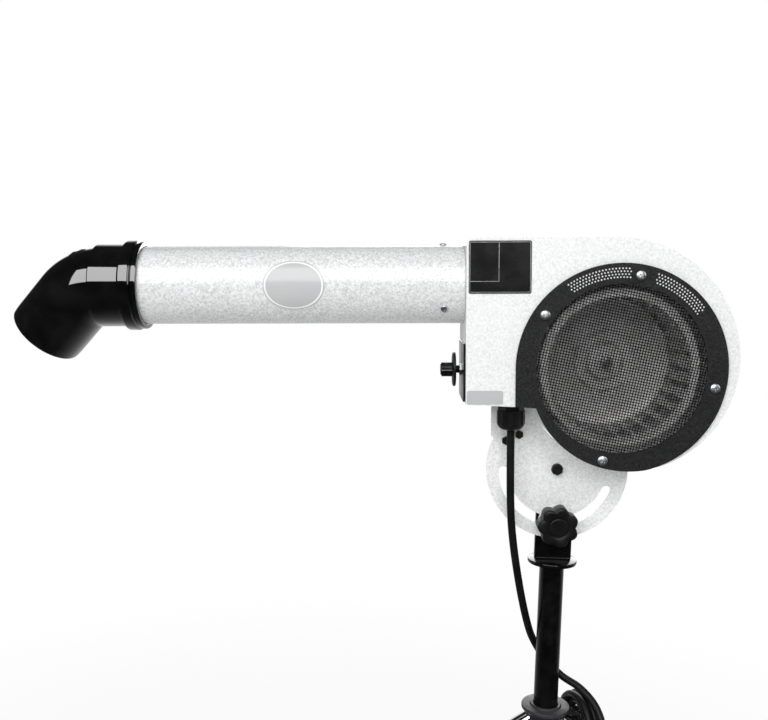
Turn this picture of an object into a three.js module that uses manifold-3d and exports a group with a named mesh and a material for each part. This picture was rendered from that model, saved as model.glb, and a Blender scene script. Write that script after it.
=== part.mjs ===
// A pet dryer on a stand: a centrifugal fan head with a long outlet tube and a turning nozzle,
// tilting on a quadrant bracket over a sliding post and a three-legged stand.
//
// Frame: X to the right (the outlet tube points to -X), Y away from the intake side, Z up.
// Lengths are millimetres. Three groups are nested as the dryer is built: the stand, the post
// that slides and swivels in it, and the head that tilts on the post.

import * as THREE from 'three';
import { mergeVertices } from 'three/addons/utils/BufferGeometryUtils.js';
import Module from 'manifold-3d';

const wasm = await Module();
wasm.setup();

const deg = THREE.MathUtils.degToRad;
const vec = (x, y, z) => new THREE.Vector3(x, y, z);

// ---------------------------------------------------------------------------
// Driving dimensions
// ---------------------------------------------------------------------------

// Fits
const GAP = 0.3; // between two pieces that touch
const SHEET = 1.5; // housing sheet

// Heights above the floor and the pose of the head
const PIVOT_Z = 743.4; // tilt pivot
const HEAD_DIP = deg(1.71); // nozzle down at rest

// Fan housing, in the head's own frame, whose origin is the tilt pivot
const DEPTH = 120; // over the front and rear plates
const BOX_LEFT = -123; // wall that carries the outlet tube
const BOX_TOP = 298;
const BOX_BOTTOM = 92.5; // at the left wall
const BOTTOM_SLOPE = -0.0465;
const FAN_X = 68;
const FAN_Z = 137;
const SCROLL_FROM = 205; // degrees, anticlockwise from +X
const SCROLL_TO = 450; // straight up, where the scroll runs into the roof

// Impeller
const WHEEL_R = 99;
const BLADE_W = 13; // of the rim, from the blades' inner ends
const WHEEL_IN_R = WHEEL_R - BLADE_W;
const WHEEL_GAP = 8; // round the wheel, to the inlet's edge and to the cut-off

// The scroll grows evenly from the wheel to the roof.
const CUTOFF_R = WHEEL_R + WHEEL_GAP; // inner face of the scroll's inner wall
const SCROLL_STEP = 8.2; // from the cut-off's circle to the scroll's start
const SCROLL_R = CUTOFF_R + SCROLL_STEP; // outer radius at SCROLL_FROM
const SCROLL_GROWTH = (BOX_TOP - FAN_Z - SCROLL_R) / (SCROLL_TO - SCROLL_FROM); // per degree

// Intake, worked outward from the hole in the front plate
const INTAKE_R = WHEEL_R + WHEEL_GAP;
const RING_LIP = 2.5; // the ring's edge inside the hole
const RING_HOLE_R = INTAKE_R - RING_LIP;
const MESH_LAP = 8.1; // of the mesh's rim behind the ring
const MESH_R = RING_HOLE_R + MESH_LAP;
const RING_SCREW_OUT = 3.4; // from the mesh's rim to the screws' circle
const RING_SCREW_R = MESH_R + RING_SCREW_OUT;
const RING_EDGE = 14; // from the screws' circle to the ring's edge
const RING_R = RING_SCREW_R + RING_EDGE;
const RING_T = 3;
const RING_TO = SCROLL_FROM + (RING_R - SCROLL_R) / SCROLL_GROWTH; // the ring's circle meets the scroll
const RING_SCREWS = [145, 80, -12, 259];
const MESH_T = 1;
const MESH_PITCH = 26;
const WIRE = 1.8;

// Wheel and motor
const WHEEL_LIP = 1.3; // rolled edge of the front ring
const WHEEL_FRONT = -50.5;
const WHEEL_BACK = 49;
const BLADES = 28;
const SHAFT_R = 5;
const MOTOR_R = 58;
const MOTOR_FLANGE_W = 12;
const MOTOR_FLANGE_R = MOTOR_R + MOTOR_FLANGE_W;
const MOTOR_FLANGE_T = 4.5;
const MOTOR_L = 90;
const MOTOR_SCREW_R = MOTOR_R + MOTOR_FLANGE_W / 2 + 0.5;

// Outlet tube and nozzle
const TUBE_R = 50;
const TUBE_WALL = 1.2;
const TUBE_Z = 240.8;
const DUCT_DROP = 2.8; // from the tube's underside to the duct's floor
const CUTOFF_Z = TUBE_Z - TUBE_R - DUCT_DROP;
const TUBE_L = 439.2;
const TUBE_END = BOX_LEFT - GAP - TUBE_L;
const TUBE_SCREW_X = BOX_LEFT - 26;
const TUBE_SCREWS = [216, 90, 324]; // round the tube, from the rear side
const SPIGOT_WALL = 1.7;
const SPIGOT_END = BOX_LEFT - 37;
const SPIGOT_FLANGE_R = TUBE_R + 1.5;
const NOZZLE_LAP = 29.9; // of the socket over the tube
const NOZZLE_MOUTH = TUBE_END + NOZZLE_LAP;
const NOZZLE_SOCKET_WALL = 5.7;
const NOZZLE_SOCKET_R = TUBE_R + GAP + NOZZLE_SOCKET_WALL;
const NOZZLE_SOCKET_L = 35.4;
const NOZZLE_R = TUBE_R - 0.7;
const NOZZLE_WALL = 2.6;
const NOZZLE_BEND_START = NOZZLE_MOUTH - 56.1;
const NOZZLE_BEND = deg(47);
const NOZZLE_BEND_R = 58;
const NOZZLE_OUTLET_L = 63;
const NOZZLE_ROLL = deg(17.5);

// Controls and cable gland
const SELECTOR_Y = -20;
const SELECTOR_Z = 133;
const GLAND_X = -63.5;
const GLAND_Y = -30;
const GLAND_R = 12; // thread
const CORD_D = 10;

// Quadrant bracket and clamp
const QUADRANT_R = 92;
const QUADRANT_T = 3;
const QUADRANT_FRONT = -6.3;
const SLOT_R = 70;
const SLOT_W = 12.5;
const SLOT_LEFT = -88; // degrees from straight down
const SLOT_RIGHT = 66;
const BOLT_R = 4; // M8
const TONGUE_W = 48;
const TONGUE_T = 6;
const EAR_BOLTS = [[-12, 46], [-29, 38]]; // from the ear's right edge, and above the pivot

// Post
const POST_R = 16;
const POST_WALL = 2;
const POST_TOP = PIVOT_Z - 121.5; // upper face of the post's disc
const DISC_R = 32;
const DISC_T = 5;
const POST_END = 90;

// Stand
const STAND_TOP = 420; // upper face of the swivel bush
const COLUMN_R = 25.4;
const COLUMN_WALL = 1.5;
const COLUMN_END = 62;
const COLLAR_R = COLUMN_R + 3.1;
const COLLAR_L = 58;
const LEG_AZIMUTHS = [80, 200, 320];
const LEG_R = 11;
const LEG_WALL = 1.5;
const LEG_ROOT_Z = STAND_TOP - 18;
const LEG_SLOPE = 24;
const LEG_KNEE_R = 300; // from the column's axis
const LEG_KNEE_BEND_R = 100;
const LEG_FOOT_SLOPE = 72;
const LEG_END_Z = 14;
const FOOT_R = 15;
const LOCK_AZIMUTH = 20;
const LOCK_Z = STAND_TOP - 32.6;
const LOCK_SEAT = 43.5; // face of the clamp boss, from the column's axis

// ---------------------------------------------------------------------------
// Making solids
// ---------------------------------------------------------------------------

/** A closed three.js geometry as a solid that can be joined and cut. */
function solid(geometry) {
  const bare = geometry.clone();
  bare.deleteAttribute('normal');
  bare.deleteAttribute('uv');
  const merged = mergeVertices(bare, 1e-4);
  const index = merged.index.array;
  const p = merged.attributes.position;
  const a = new THREE.Vector3();
  const b = new THREE.Vector3();
  const c = new THREE.Vector3();
  const triangles = [];
  let volume = 0;
  for (let i = 0; i < index.length; i += 3) {
    const [u, v, w] = [index[i], index[i + 1], index[i + 2]];
    if (u === v || v === w || w === u) continue;
    triangles.push([u, v, w]);
    a.fromBufferAttribute(p, u);
    b.fromBufferAttribute(p, v);
    c.fromBufferAttribute(p, w);
    volume += a.dot(b.cross(c));
  }
  if (volume < 0) triangles.forEach((t) => t.reverse());
  return new wasm.Manifold(new wasm.Mesh({
    numProp: 3,
    vertProperties: new Float32Array(p.array),
    triVerts: new Uint32Array(triangles.flat()),
  }));
}

/** A solid back as a three.js geometry. */
function geometryOf(body) {
  const mesh = body.getMesh();
  const geometry = new THREE.BufferGeometry();
  geometry.setAttribute('position', new THREE.BufferAttribute(mesh.vertProperties, 3));
  geometry.setIndex(new THREE.BufferAttribute(mesh.triVerts, 1));
  geometry.computeVertexNormals();
  return geometry;
}

const join = (...bodies) => bodies.reduce((whole, body) => whole.add(body));
const cut = (body, ...tools) => tools.reduce((rest, tool) => rest.subtract(tool), body);

/** Points of an outline, written as pairs. */
const pointsOf = (pairs) => pairs.map(([a, b]) => new THREE.Vector2(a, b));

/** A shape drawn in X and Z, made a plate between two Y values. */
function plate(shape, front, back, curveSegments = 24) {
  const depth = back - front;
  const geometry = new THREE.ExtrudeGeometry(shape, { depth, bevelEnabled: false, curveSegments });
  geometry.rotateX(Math.PI / 2);
  geometry.translate(0, back, 0);
  return solid(geometry);
}

/** A block between two corners. */
function block(x0, x1, y0, y1, z0, z1) {
  const geometry = new THREE.BoxGeometry(x1 - x0, y1 - y0, z1 - z0);
  geometry.translate((x0 + x1) / 2, (y0 + y1) / 2, (z0 + z1) / 2);
  return solid(geometry);
}

/** A turned solid. Each profile point is [radius, place along the axis]. */
function turned(profile, axis, segments = 32) {
  const geometry = new THREE.LatheGeometry(profile.map(([r, s]) => new THREE.Vector2(r, s)), segments);
  if (axis === 'z') geometry.rotateX(Math.PI / 2);
  if (axis === 'x') geometry.rotateZ(-Math.PI / 2);
  return solid(geometry);
}

/** A ring-like turned solid, its profile closed on itself. */
const turnedRing = (profile, axis, segments) => turned([...profile, profile[0]], axis, segments);

const rod = (r, from, to, axis, segments = 14) =>
  turned([[0, from], [r, from], [r, to], [0, to]], axis, segments);

const pipe = (inner, outer, from, to, axis, segments) =>
  turnedRing([[inner, from], [outer, from], [outer, to], [inner, to]], axis, segments);

/** A rod from one point toward another. */
function rodBetween(r, start, end, segments = 16) {
  const along = end.clone().sub(start);
  const geometry = new THREE.CylinderGeometry(r, r, along.length(), segments);
  geometry.applyQuaternion(new THREE.Quaternion().setFromUnitVectors(vec(0, 1, 0), along.clone().normalize()));
  const middle = start.clone().add(end).multiplyScalar(0.5);
  geometry.translate(middle.x, middle.y, middle.z);
  return solid(geometry);
}

/** A path made of stations, so that an extrusion steps exactly from one to the next. */
class StationPath extends THREE.Curve {
  constructor(stations) {
    super();
    this.stations = stations;
  }

  at(u) {
    return this.stations[Math.round(u * (this.stations.length - 1))];
  }

  getPointAt(u, target = new THREE.Vector3()) {
    return target.copy(this.at(u).point);
  }

  getTangentAt(u, target = new THREE.Vector3()) {
    return target.copy(this.at(u).tangent);
  }
}

/** Stations along straight runs joined by arcs of one radius. */
function bentStations(corners, radius, arcSteps) {
  const stations = [];
  const heading = (i) => corners[i + 1].clone().sub(corners[i]).normalize();
  stations.push({ point: corners[0], tangent: heading(0) });
  for (let i = 1; i < corners.length - 1; i += 1) {
    const before = heading(i - 1);
    const after = heading(i);
    const angle = before.angleTo(after);
    const back = radius * Math.tan(angle / 2);
    const inward = after.clone().sub(before).normalize();
    const centre = corners[i].clone().addScaledVector(inward, radius / Math.cos(angle / 2));
    const entry = corners[i].clone().addScaledVector(before, -back);
    const out = centre.clone().sub(entry).normalize();
    for (let k = 0; k <= arcSteps; k += 1) {
      const t = (angle * k) / arcSteps;
      const point = centre.clone();
      point.addScaledVector(out, -radius * Math.cos(t)).addScaledVector(before, radius * Math.sin(t));
      const tangent = before.clone().multiplyScalar(Math.cos(t)).addScaledVector(out, Math.sin(t));
      stations.push({ point, tangent });
    }
  }
  const last = corners.length - 1;
  stations.push({ point: corners[last], tangent: heading(last - 1) });
  return stations;
}

/** A round section swept along stations. */
function swept(radius, stations, sides) {
  const section = new THREE.Shape();
  for (let i = 0; i < sides; i += 1) {
    const a = (2 * Math.PI * i) / sides;
    if (i === 0) section.moveTo(radius, 0);
    else section.lineTo(radius * Math.cos(a), radius * Math.sin(a));
  }
  section.closePath();
  const extrudePath = new StationPath(stations);
  return solid(new THREE.ExtrudeGeometry(section, { steps: stations.length - 1, extrudePath }));
}

/** A smooth curve through points as stations. */
function smoothStations(points, steps) {
  const curve = new THREE.CatmullRomCurve3(points, false, 'centripetal');
  const stations = [];
  for (let i = 0; i <= steps; i += 1) {
    stations.push({ point: curve.getPointAt(i / steps), tangent: curve.getTangentAt(i / steps) });
  }
  return stations;
}

/** Length of a chain of stations. */
const runLength = (stations) => stations.reduce(
  (sum, s, i) => (i ? sum + s.point.distanceTo(stations[i - 1].point) : 0), 0);

/** A hexagon across its flats, as a ring or a solid head. */
function hexagon(flats, from, to, axis, bore = 0) {
  const corner = flats / Math.sqrt(3);
  const body = turned([[0, from], [corner, from], [corner, to], [0, to]], axis, 6);
  return bore ? cut(body, rod(bore, from - 1, to + 1, axis)) : body;
}

/** A pan-head screw along Y, its head on the +Y side of Y = 0, with a cross recess. */
function panScrew(headR, headH, shankR, length) {
  const body = turned([
    [0, -length], [shankR, -length], [shankR, 0], [headR, 0], [headR * 0.95, headH * 0.5],
    [headR * 0.6, headH], [0, headH],
  ], 'y', 10);
  const arm = headR * 0.5;
  const slot = headR * 0.11;
  const floor = headH * 0.4;
  return cut(body,
    block(-arm, arm, floor, headH + 1, -slot, slot),
    block(-slot, slot, floor, headH + 1, -arm, arm));
}

/** A hand knob along Y with round lobes; its seat is at Y = 0 and its face at Y = height. */
function lobedKnob(radius, lobes, height, neckR, neckL, capR, bore, boreDepth) {
  const outline = new THREE.Shape();
  const steps = lobes * 5;
  for (let i = 0; i < steps; i += 1) {
    const a = (2 * Math.PI * i) / steps;
    const wave = Math.pow(0.5 + 0.5 * Math.cos(lobes * a), 0.6);
    const r = radius * (0.83 + 0.17 * wave) - 2;
    if (i === 0) outline.moveTo(r, 0);
    else outline.lineTo(r * Math.cos(a), r * Math.sin(a));
  }
  outline.closePath();
  const depth = height - neckL - 2 * 2 - 1;
  const geometry = new THREE.ExtrudeGeometry(outline, {
    depth, bevelEnabled: true, bevelThickness: 2, bevelSize: 2, bevelSegments: 1,
  });
  geometry.rotateX(-Math.PI / 2);
  geometry.translate(0, neckL + 2, 0);
  const neck = rod(neckR, 0, neckL + 3, 'y');
  const cap = turned([[0, height - 3], [capR, height - 3], [capR, height - 0.8],
    [capR - 1.2, height], [0, height]], 'y', 20);
  const body = join(solid(geometry), neck, cap);
  return bore ? cut(body, rod(bore, -1, boreDepth, 'y')) : body;
}

// ---------------------------------------------------------------------------
// Placing pieces
// ---------------------------------------------------------------------------

const paint = (color, roughness, metalness = 0) =>
  new THREE.MeshStandardMaterial({ color, roughness, metalness });

const WHITE = paint(0xe9eaec, 0.5);
const SILVER = paint(0xc9cccf, 0.45, 0.6);
const WRINKLE = paint(0x16171a, 0.7);
const GLOSS_BLACK = paint(0x08090a, 0.15);
const BLACK_PLASTIC = paint(0x1b1c1e, 0.5);
const CHROME = paint(0xd8dadc, 0.08, 1);
const ZINC = paint(0xb9bcc0, 0.3, 1);
const STEEL = paint(0x9a9da1, 0.35, 1);
const WIRE_STEEL = paint(0x4c4e52, 0.4, 1);
const GREY = paint(0x9b9ea2, 0.5);
const CAST = paint(0x5c6064, 0.6, 0.4);
const MICA = paint(0xb59a6a, 0.6);
const RUBBER = paint(0x141414, 0.85);
const NYLON = paint(0x232426, 0.6);

const object = new THREE.Group();
const standGroup = new THREE.Group();
const postGroup = new THREE.Group();
const headGroup = new THREE.Group();
const nozzleGroup = new THREE.Group();
headGroup.position.z = PIVOT_Z;
headGroup.rotation.y = -HEAD_DIP;
nozzleGroup.position.set(NOZZLE_MOUTH, 0, TUBE_Z);
nozzleGroup.rotation.x = NOZZLE_ROLL;
object.add(standGroup, postGroup, headGroup);
headGroup.add(nozzleGroup);

/** Names a solid, gives it its material and adds it to a group. */
function add(group, name, body, material) {
  const mesh = new THREE.Mesh(geometryOf(body), material);
  mesh.name = name;
  group.add(mesh);
  return mesh;
}

// ---------------------------------------------------------------------------
// Housing
// ---------------------------------------------------------------------------

const HALF = DEPTH / 2;
const scrollR = (phi) => SCROLL_R + SCROLL_GROWTH * (phi - SCROLL_FROM);
const bottomZ = (x) => BOX_BOTTOM + BOTTOM_SLOPE * (x - BOX_LEFT);
const aroundFan = (radius, phi) =>
  new THREE.Vector2(FAN_X + radius * Math.cos(deg(phi)), FAN_Z + radius * Math.sin(deg(phi)));
const atFan = (body) => body.translate([FAN_X, 0, FAN_Z]);

/** Angle at which the scroll, moved inward by an inset, meets the bottom wall. */
function scrollStart(inset) {
  let low = 190;
  let high = 225;
  for (let i = 0; i < 40; i += 1) {
    const phi = (low + high) / 2;
    const p = aroundFan(scrollR(phi) - inset, phi);
    if (p.y > bottomZ(p.x) + inset) low = phi;
    else high = phi;
  }
  return low;
}

/** Outline of the housing in X and Z, moved inward by an inset. */
function housingPoints(inset) {
  const left = BOX_LEFT + inset;
  const points = [new THREE.Vector2(left, BOX_TOP - inset), new THREE.Vector2(left, bottomZ(left) + inset)];
  const from = scrollStart(inset);
  const steps = 38;
  for (let i = 0; i <= steps; i += 1) {
    const phi = from + ((SCROLL_TO - from) * i) / steps;
    points.push(aroundFan(scrollR(phi) - inset, phi));
  }
  return points;
}

/** A round hole, with a side about every 16 mm and at least 16 sides. */
function circleHole(x, z, r) {
  const sides = Math.max(16, Math.round((2 * Math.PI * r) / 16));
  const points = [];
  for (let i = 0; i < sides; i += 1) {
    const a = (-2 * Math.PI * i) / sides;
    points.push(new THREE.Vector2(x + r * Math.cos(a), z + r * Math.sin(a)));
  }
  return new THREE.Path(points);
}

const frontShape = new THREE.Shape(housingPoints(0));
frontShape.holes.push(circleHole(FAN_X, FAN_Z, INTAKE_R));
const ringScrewAt = RING_SCREWS.map((phi) => aroundFan(RING_SCREW_R, phi));
const ringScrewBores = (r) => ringScrewAt.map((p) => rod(r, -HALF - 20, -HALF + 10, 'y', 8).translate([p.x, 0, p.y]));
add(headGroup, 'front_plate', cut(plate(frontShape, -HALF, -HALF + SHEET), ...ringScrewBores(2.4)), WHITE);

const motorScrewAt = [90, 210, 330].map((phi) => aroundFan(MOTOR_SCREW_R, phi));
const motorScrewBores = motorScrewAt.map((p) => rod(2.8, HALF - 8, HALF + 8, 'y', 12).translate([p.x, 0, p.y]));
const rearShape = new THREE.Shape(housingPoints(0));
rearShape.holes.push(circleHole(FAN_X, FAN_Z, 16));
add(headGroup, 'rear_plate', cut(plate(rearShape, HALF - SHEET, HALF), ...motorScrewBores), WHITE);

const bandShape = new THREE.Shape(housingPoints(0));
bandShape.holes.push(new THREE.Path(housingPoints(SHEET)));
const bandEdge = HALF - SHEET - GAP;
add(headGroup, 'scroll_band', cut(plate(bandShape, -bandEdge, bandEdge),
  rod(TUBE_R - TUBE_WALL, BOX_LEFT - 5, BOX_LEFT + 5, 'x', 32).translate([0, 0, TUBE_Z]),
  rod(5.4, BOX_LEFT - 5, BOX_LEFT + 5, 'x').translate([0, SELECTOR_Y, SELECTOR_Z]),
  rod(GLAND_R + 0.4, BOX_BOTTOM - 12.5, BOX_BOTTOM + 7.5, 'z', 28).translate([GLAND_X, GLAND_Y, 0])), WHITE);

/** A strip of sheet of one thickness along a line of points, as a shape. */
function strip(points, thickness) {
  const offset = (side) => points.map((p, i) => {
    const before = points[Math.max(i - 1, 0)];
    const after = points[Math.min(i + 1, points.length - 1)];
    const a = p.clone().sub(before);
    const b = after.clone().sub(p);
    if (i === 0) a.copy(b);
    if (i === points.length - 1) b.copy(a);
    a.normalize();
    b.normalize();
    const normal = new THREE.Vector2(-a.y - b.y, a.x + b.x).normalize();
    const stretch = 1 / Math.max(0.4, normal.dot(new THREE.Vector2(-a.y, a.x)));
    return p.clone().addScaledVector(normal, (side * thickness * stretch) / 2);
  });
  return new THREE.Shape([...offset(1), ...offset(-1).reverse()]);
}

// The duct's floor turns down over a round lip and becomes the scroll's inner wall.
const lipR = 6;
const wallR = CUTOFF_R + SHEET / 2;
const lipZ = CUTOFF_Z - lipR;
const lipX = FAN_X - Math.sqrt((wallR + lipR) ** 2 - (lipZ - FAN_Z) ** 2);
const lipPhi = THREE.MathUtils.radToDeg(Math.atan2(lipZ - FAN_Z, lipX - FAN_X));
const cutoffLine = [new THREE.Vector2(BOX_LEFT + SHEET + GAP + 0.2, CUTOFF_Z)];
for (let i = 0; i <= 6; i += 1) {
  const a = deg(90) + (deg(lipPhi - 180) - deg(90)) * (i / 6);
  cutoffLine.push(new THREE.Vector2(lipX + lipR * Math.cos(a), lipZ + lipR * Math.sin(a)));
}
const footPhi = scrollStart(SHEET);
for (let i = 1; i <= 10; i += 1) cutoffLine.push(aroundFan(wallR, lipPhi + ((footPhi - lipPhi) * i) / 10));
cutoffLine.push(aroundFan(scrollR(footPhi) - SHEET - 0.8, footPhi + 1.2));
add(headGroup, 'cutoff_plate', plate(strip(cutoffLine, SHEET), -bandEdge, bandEdge), STEEL);

// ---------------------------------------------------------------------------
// Intake: ring, guard mesh and screws
// ---------------------------------------------------------------------------

const ringBack = -HALF - GAP;
const ringFront = ringBack - RING_T;
const RING_LEFT_PHI = 540; // the ring's own circle ends straight to the left
const ringPoints = [];
for (let i = 0; i <= 40; i += 1) {
  ringPoints.push(aroundFan(RING_R, RING_TO + ((RING_LEFT_PHI - RING_TO) * i) / 40));
}
const ringLeft = FAN_X - RING_R;
ringPoints.push(new THREE.Vector2(ringLeft, bottomZ(ringLeft) + 0.2));
for (let i = 0; i < 13; i += 1) {
  const phi = SCROLL_FROM + ((RING_TO - SCROLL_FROM) * i) / 13;
  ringPoints.push(aroundFan(scrollR(phi), phi));
}
const ringShape = new THREE.Shape(ringPoints);
ringShape.holes.push(circleHole(FAN_X, FAN_Z, RING_HOLE_R));
const ringRebate = atFan(rod(MESH_R + GAP, ringBack - MESH_T - GAP, ringBack + 1, 'y', 36));
add(headGroup, 'intake_ring', cut(plate(ringShape, ringFront, ringBack), ringRebate, ...ringScrewBores(2.6)), WRINKLE);

/** A wire of the guard, long enough for its chord. */
function guardWire(offset, upright) {
  const half = Math.sqrt((RING_HOLE_R + 2) ** 2 - offset ** 2);
  const w = WIRE / 2;
  const back = ringBack;
  return upright
    ? block(offset - w, offset + w, back - MESH_T, back, -half, half)
    : block(-half, half, back - MESH_T, back, offset - w, offset + w);
}

let guard = pipe(RING_HOLE_R + 1, MESH_R, ringBack - MESH_T, ringBack, 'y', 36);
for (let k = -3; k <= 3; k += 1) {
  guard = guard.add(guardWire(k * MESH_PITCH, true));
  guard = guard.add(guardWire(k * MESH_PITCH, false));
}
add(headGroup, 'intake_mesh', atFan(guard), WIRE_STEEL);

ringScrewAt.forEach((p, i) => {
  const screw = add(headGroup, `ring_screw_${i + 1}`, panScrew(6.4, 3.4, 2.1, 9), ZINC);
  screw.rotation.x = Math.PI;
  screw.position.set(p.x, ringFront - GAP, p.y);
});

// ---------------------------------------------------------------------------
// Impeller and motor
// ---------------------------------------------------------------------------

/** One forward-curved blade, drawn as a bent strip across the wheel's rim. */
function blade(turn) {
  const line = [];
  for (let i = 0; i <= 2; i += 1) {
    const t = i / 2;
    const r = WHEEL_IN_R - 2 + (WHEEL_R - WHEEL_LIP - WHEEL_IN_R) * t;
    const a = turn + 9 * t * t - 2 * t;
    line.push(new THREE.Vector2(r * Math.cos(deg(a)), r * Math.sin(deg(a))));
  }
  return plate(strip(line, 1), WHEEL_FRONT + 1, WHEEL_BACK - 1);
}

const wheelPlate = turnedRing([
  [SHAFT_R + GAP, 30], [13, 30], [13, 42], [24, 42], [27, 44.5], [40, 44.5], [43, WHEEL_BACK - 1.5],
  [WHEEL_R, WHEEL_BACK - 1.5], [WHEEL_R, WHEEL_BACK], [SHAFT_R + GAP, WHEEL_BACK],
], 'y', 28);
const wheelRing = turnedRing([
  [WHEEL_IN_R, WHEEL_FRONT], [WHEEL_R, WHEEL_FRONT], [WHEEL_R, WHEEL_FRONT + 7],
  [WHEEL_R - WHEEL_LIP, WHEEL_FRONT + 7], [WHEEL_R - WHEEL_LIP, WHEEL_FRONT + 1.5], [WHEEL_IN_R, WHEEL_FRONT + 1.5],
], 'y', 32);
let wheel = join(wheelPlate, wheelRing);
for (let k = 0; k < BLADES; k += 1) wheel = wheel.add(blade((360 * k) / BLADES));
add(headGroup, 'impeller', atFan(wheel), WIRE_STEEL);
add(headGroup, 'impeller_nut', atFan(hexagon(17, 20.5, 30 - GAP, 'y', SHAFT_R + GAP)), ZINC);

const motorFront = HALF + GAP;
const motorBack = HALF + MOTOR_L;
const shaftEnd = motorBack - 12;
add(headGroup, 'motor_shaft', atFan(rod(SHAFT_R, 16, shaftEnd, 'y')), STEEL);

const motorProfile = [[0, shaftEnd + 1], [SHAFT_R + 1, shaftEnd + 1], [SHAFT_R + 1, motorFront],
  [MOTOR_FLANGE_R, motorFront], [MOTOR_FLANGE_R, motorFront + MOTOR_FLANGE_T],
  [MOTOR_R, motorFront + MOTOR_FLANGE_T]];
for (let k = 0; k < 2; k += 1) {
  const s = motorFront + 18 + 26 * k;
  motorProfile.push([MOTOR_R, s], [MOTOR_R - 3, s + 2], [MOTOR_R - 3, s + 12], [MOTOR_R, s + 14]);
}
motorProfile.push([MOTOR_R, motorBack - 12], [MOTOR_R - 4, motorBack - 3], [MOTOR_R - 12, motorBack], [0, motorBack]);
const vents = [];
for (let k = 0; k < 6; k += 1) {
  vents.push(block(22, 42, motorBack - 5, motorBack + 1, -3, 3).rotate([0, 60 * k, 0]));
}
add(headGroup, 'motor_body', cut(atFan(cut(turned(motorProfile, 'y', 24), ...vents)), ...motorScrewBores), CAST);

motorScrewAt.forEach((p, i) => {
  const screw = add(headGroup, `motor_screw_${i + 1}`, join(hexagon(8, 0, 3.5, 'y'), rod(2.5, -12, 1, 'y', 12)), ZINC);
  screw.position.set(p.x, motorFront + MOTOR_FLANGE_T + GAP, p.y);
});

// ---------------------------------------------------------------------------
// Outlet: spigot, heater, tube and nozzle
// ---------------------------------------------------------------------------

const onTube = (body) => body.translate([0, 0, TUBE_Z]);
const wallInside = BOX_LEFT + SHEET;
const tubeBore = TUBE_R - TUBE_WALL;
const spigotR = tubeBore - GAP;
const spigotBore = spigotR - SPIGOT_WALL;

/** Radial direction round the tube, measured from the rear side. */
const roundTube = (angle) => vec(0, Math.cos(deg(angle)), Math.sin(deg(angle)));
const tubeScrewBore = (angle, r) => rodBetween(r,
  vec(TUBE_SCREW_X, 0, TUBE_Z).addScaledVector(roundTube(angle), TUBE_R - 12),
  vec(TUBE_SCREW_X, 0, TUBE_Z).addScaledVector(roundTube(angle), TUBE_R + 8), 8);
const tubeScrewBores = (r) => TUBE_SCREWS.map((angle) => tubeScrewBore(angle, r));

add(headGroup, 'outlet_spigot', cut(onTube(turnedRing([
  [spigotBore, SPIGOT_END], [spigotR, SPIGOT_END], [spigotR, wallInside + GAP], [SPIGOT_FLANGE_R, wallInside + GAP],
  [SPIGOT_FLANGE_R, wallInside + GAP + 1.5], [spigotBore, wallInside + GAP + 1.5],
], 'x', 28)), ...tubeScrewBores(2.3)), STEEL);
add(headGroup, 'outlet_tube', cut(
  onTube(pipe(tubeBore, TUBE_R, TUBE_END, BOX_LEFT - GAP, 'x', 40)), ...tubeScrewBores(2.3)), WHITE);
TUBE_SCREWS.forEach((angle, i) => {
  const out = roundTube(angle);
  const screw = add(headGroup, `tube_screw_${i + 1}`, panScrew(5, 2.8, 2, 7), ZINC);
  screw.quaternion.setFromUnitVectors(vec(0, 1, 0), out);
  screw.position.copy(vec(TUBE_SCREW_X, 0, TUBE_Z).addScaledVector(out, TUBE_R + GAP));
});

// A heater wire wound over a cross of mica behind the outlet.
const heaterFrom = wallInside + 2 * GAP + 1.5;
const heaterTo = heaterFrom + 66;
const HEATER_R = spigotBore - 6.8; // the cross's reach under the wire
const arms = (reach, x0, x1) => join(
  block(x0, x1, -reach, reach, -0.8, 0.8),
  block(x0, x1, -0.8, 0.8, -reach, reach));
add(headGroup, 'heater_frame', onTube(join(
  arms(HEATER_R, heaterFrom, heaterTo),
  arms(SPIGOT_FLANGE_R - 0.5, heaterFrom, heaterFrom + 4))), MICA);
const heaterPoints = [];
const heaterTurns = 3;
for (let i = 0; i <= heaterTurns * 10; i += 1) {
  const a = (2 * Math.PI * (i + 0.5)) / 10;
  const x = heaterFrom + 12 + (46 * i) / (heaterTurns * 10);
  heaterPoints.push(vec(x, (HEATER_R + 4) * Math.cos(a), (HEATER_R + 4) * Math.sin(a)));
}
const heaterStations = heaterPoints.map((point, i) => ({
  point,
  tangent: heaterPoints[Math.min(i + 1, heaterPoints.length - 1)].clone()
    .sub(heaterPoints[Math.max(i - 1, 0)]).normalize(),
}));
add(headGroup, 'heater_coil', onTube(swept(1, heaterStations, 4)), STEEL);

// The nozzle is drawn with its mouth at its own origin, running to -X and bending to -Z.
const nozzleCorner = NOZZLE_BEND_START - NOZZLE_MOUTH - NOZZLE_BEND_R * Math.tan(NOZZLE_BEND / 2);
const nozzleOut = NOZZLE_BEND_R * Math.tan(NOZZLE_BEND / 2) + NOZZLE_OUTLET_L;
const nozzleStations = (start, extra) => bentStations([
  vec(start, 0, 0), vec(nozzleCorner, 0, 0),
  vec(nozzleCorner - (nozzleOut + extra) * Math.cos(NOZZLE_BEND), 0, -(nozzleOut + extra) * Math.sin(NOZZLE_BEND)),
], NOZZLE_BEND_R, 6);
const socketEnd = -NOZZLE_SOCKET_L;
const socketStop = TUBE_END - NOZZLE_MOUTH - GAP;
const nozzleOuter = join(
  swept(NOZZLE_R, nozzleStations(socketStop - 2, 0), 28),
  turned([[0, 0], [NOZZLE_SOCKET_R - 1.2, 0], [NOZZLE_SOCKET_R, -1.2], [NOZZLE_SOCKET_R, socketEnd + 5],
    [NOZZLE_SOCKET_R - 4.5, socketEnd], [0, socketEnd]], 'x', 36));
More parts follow.
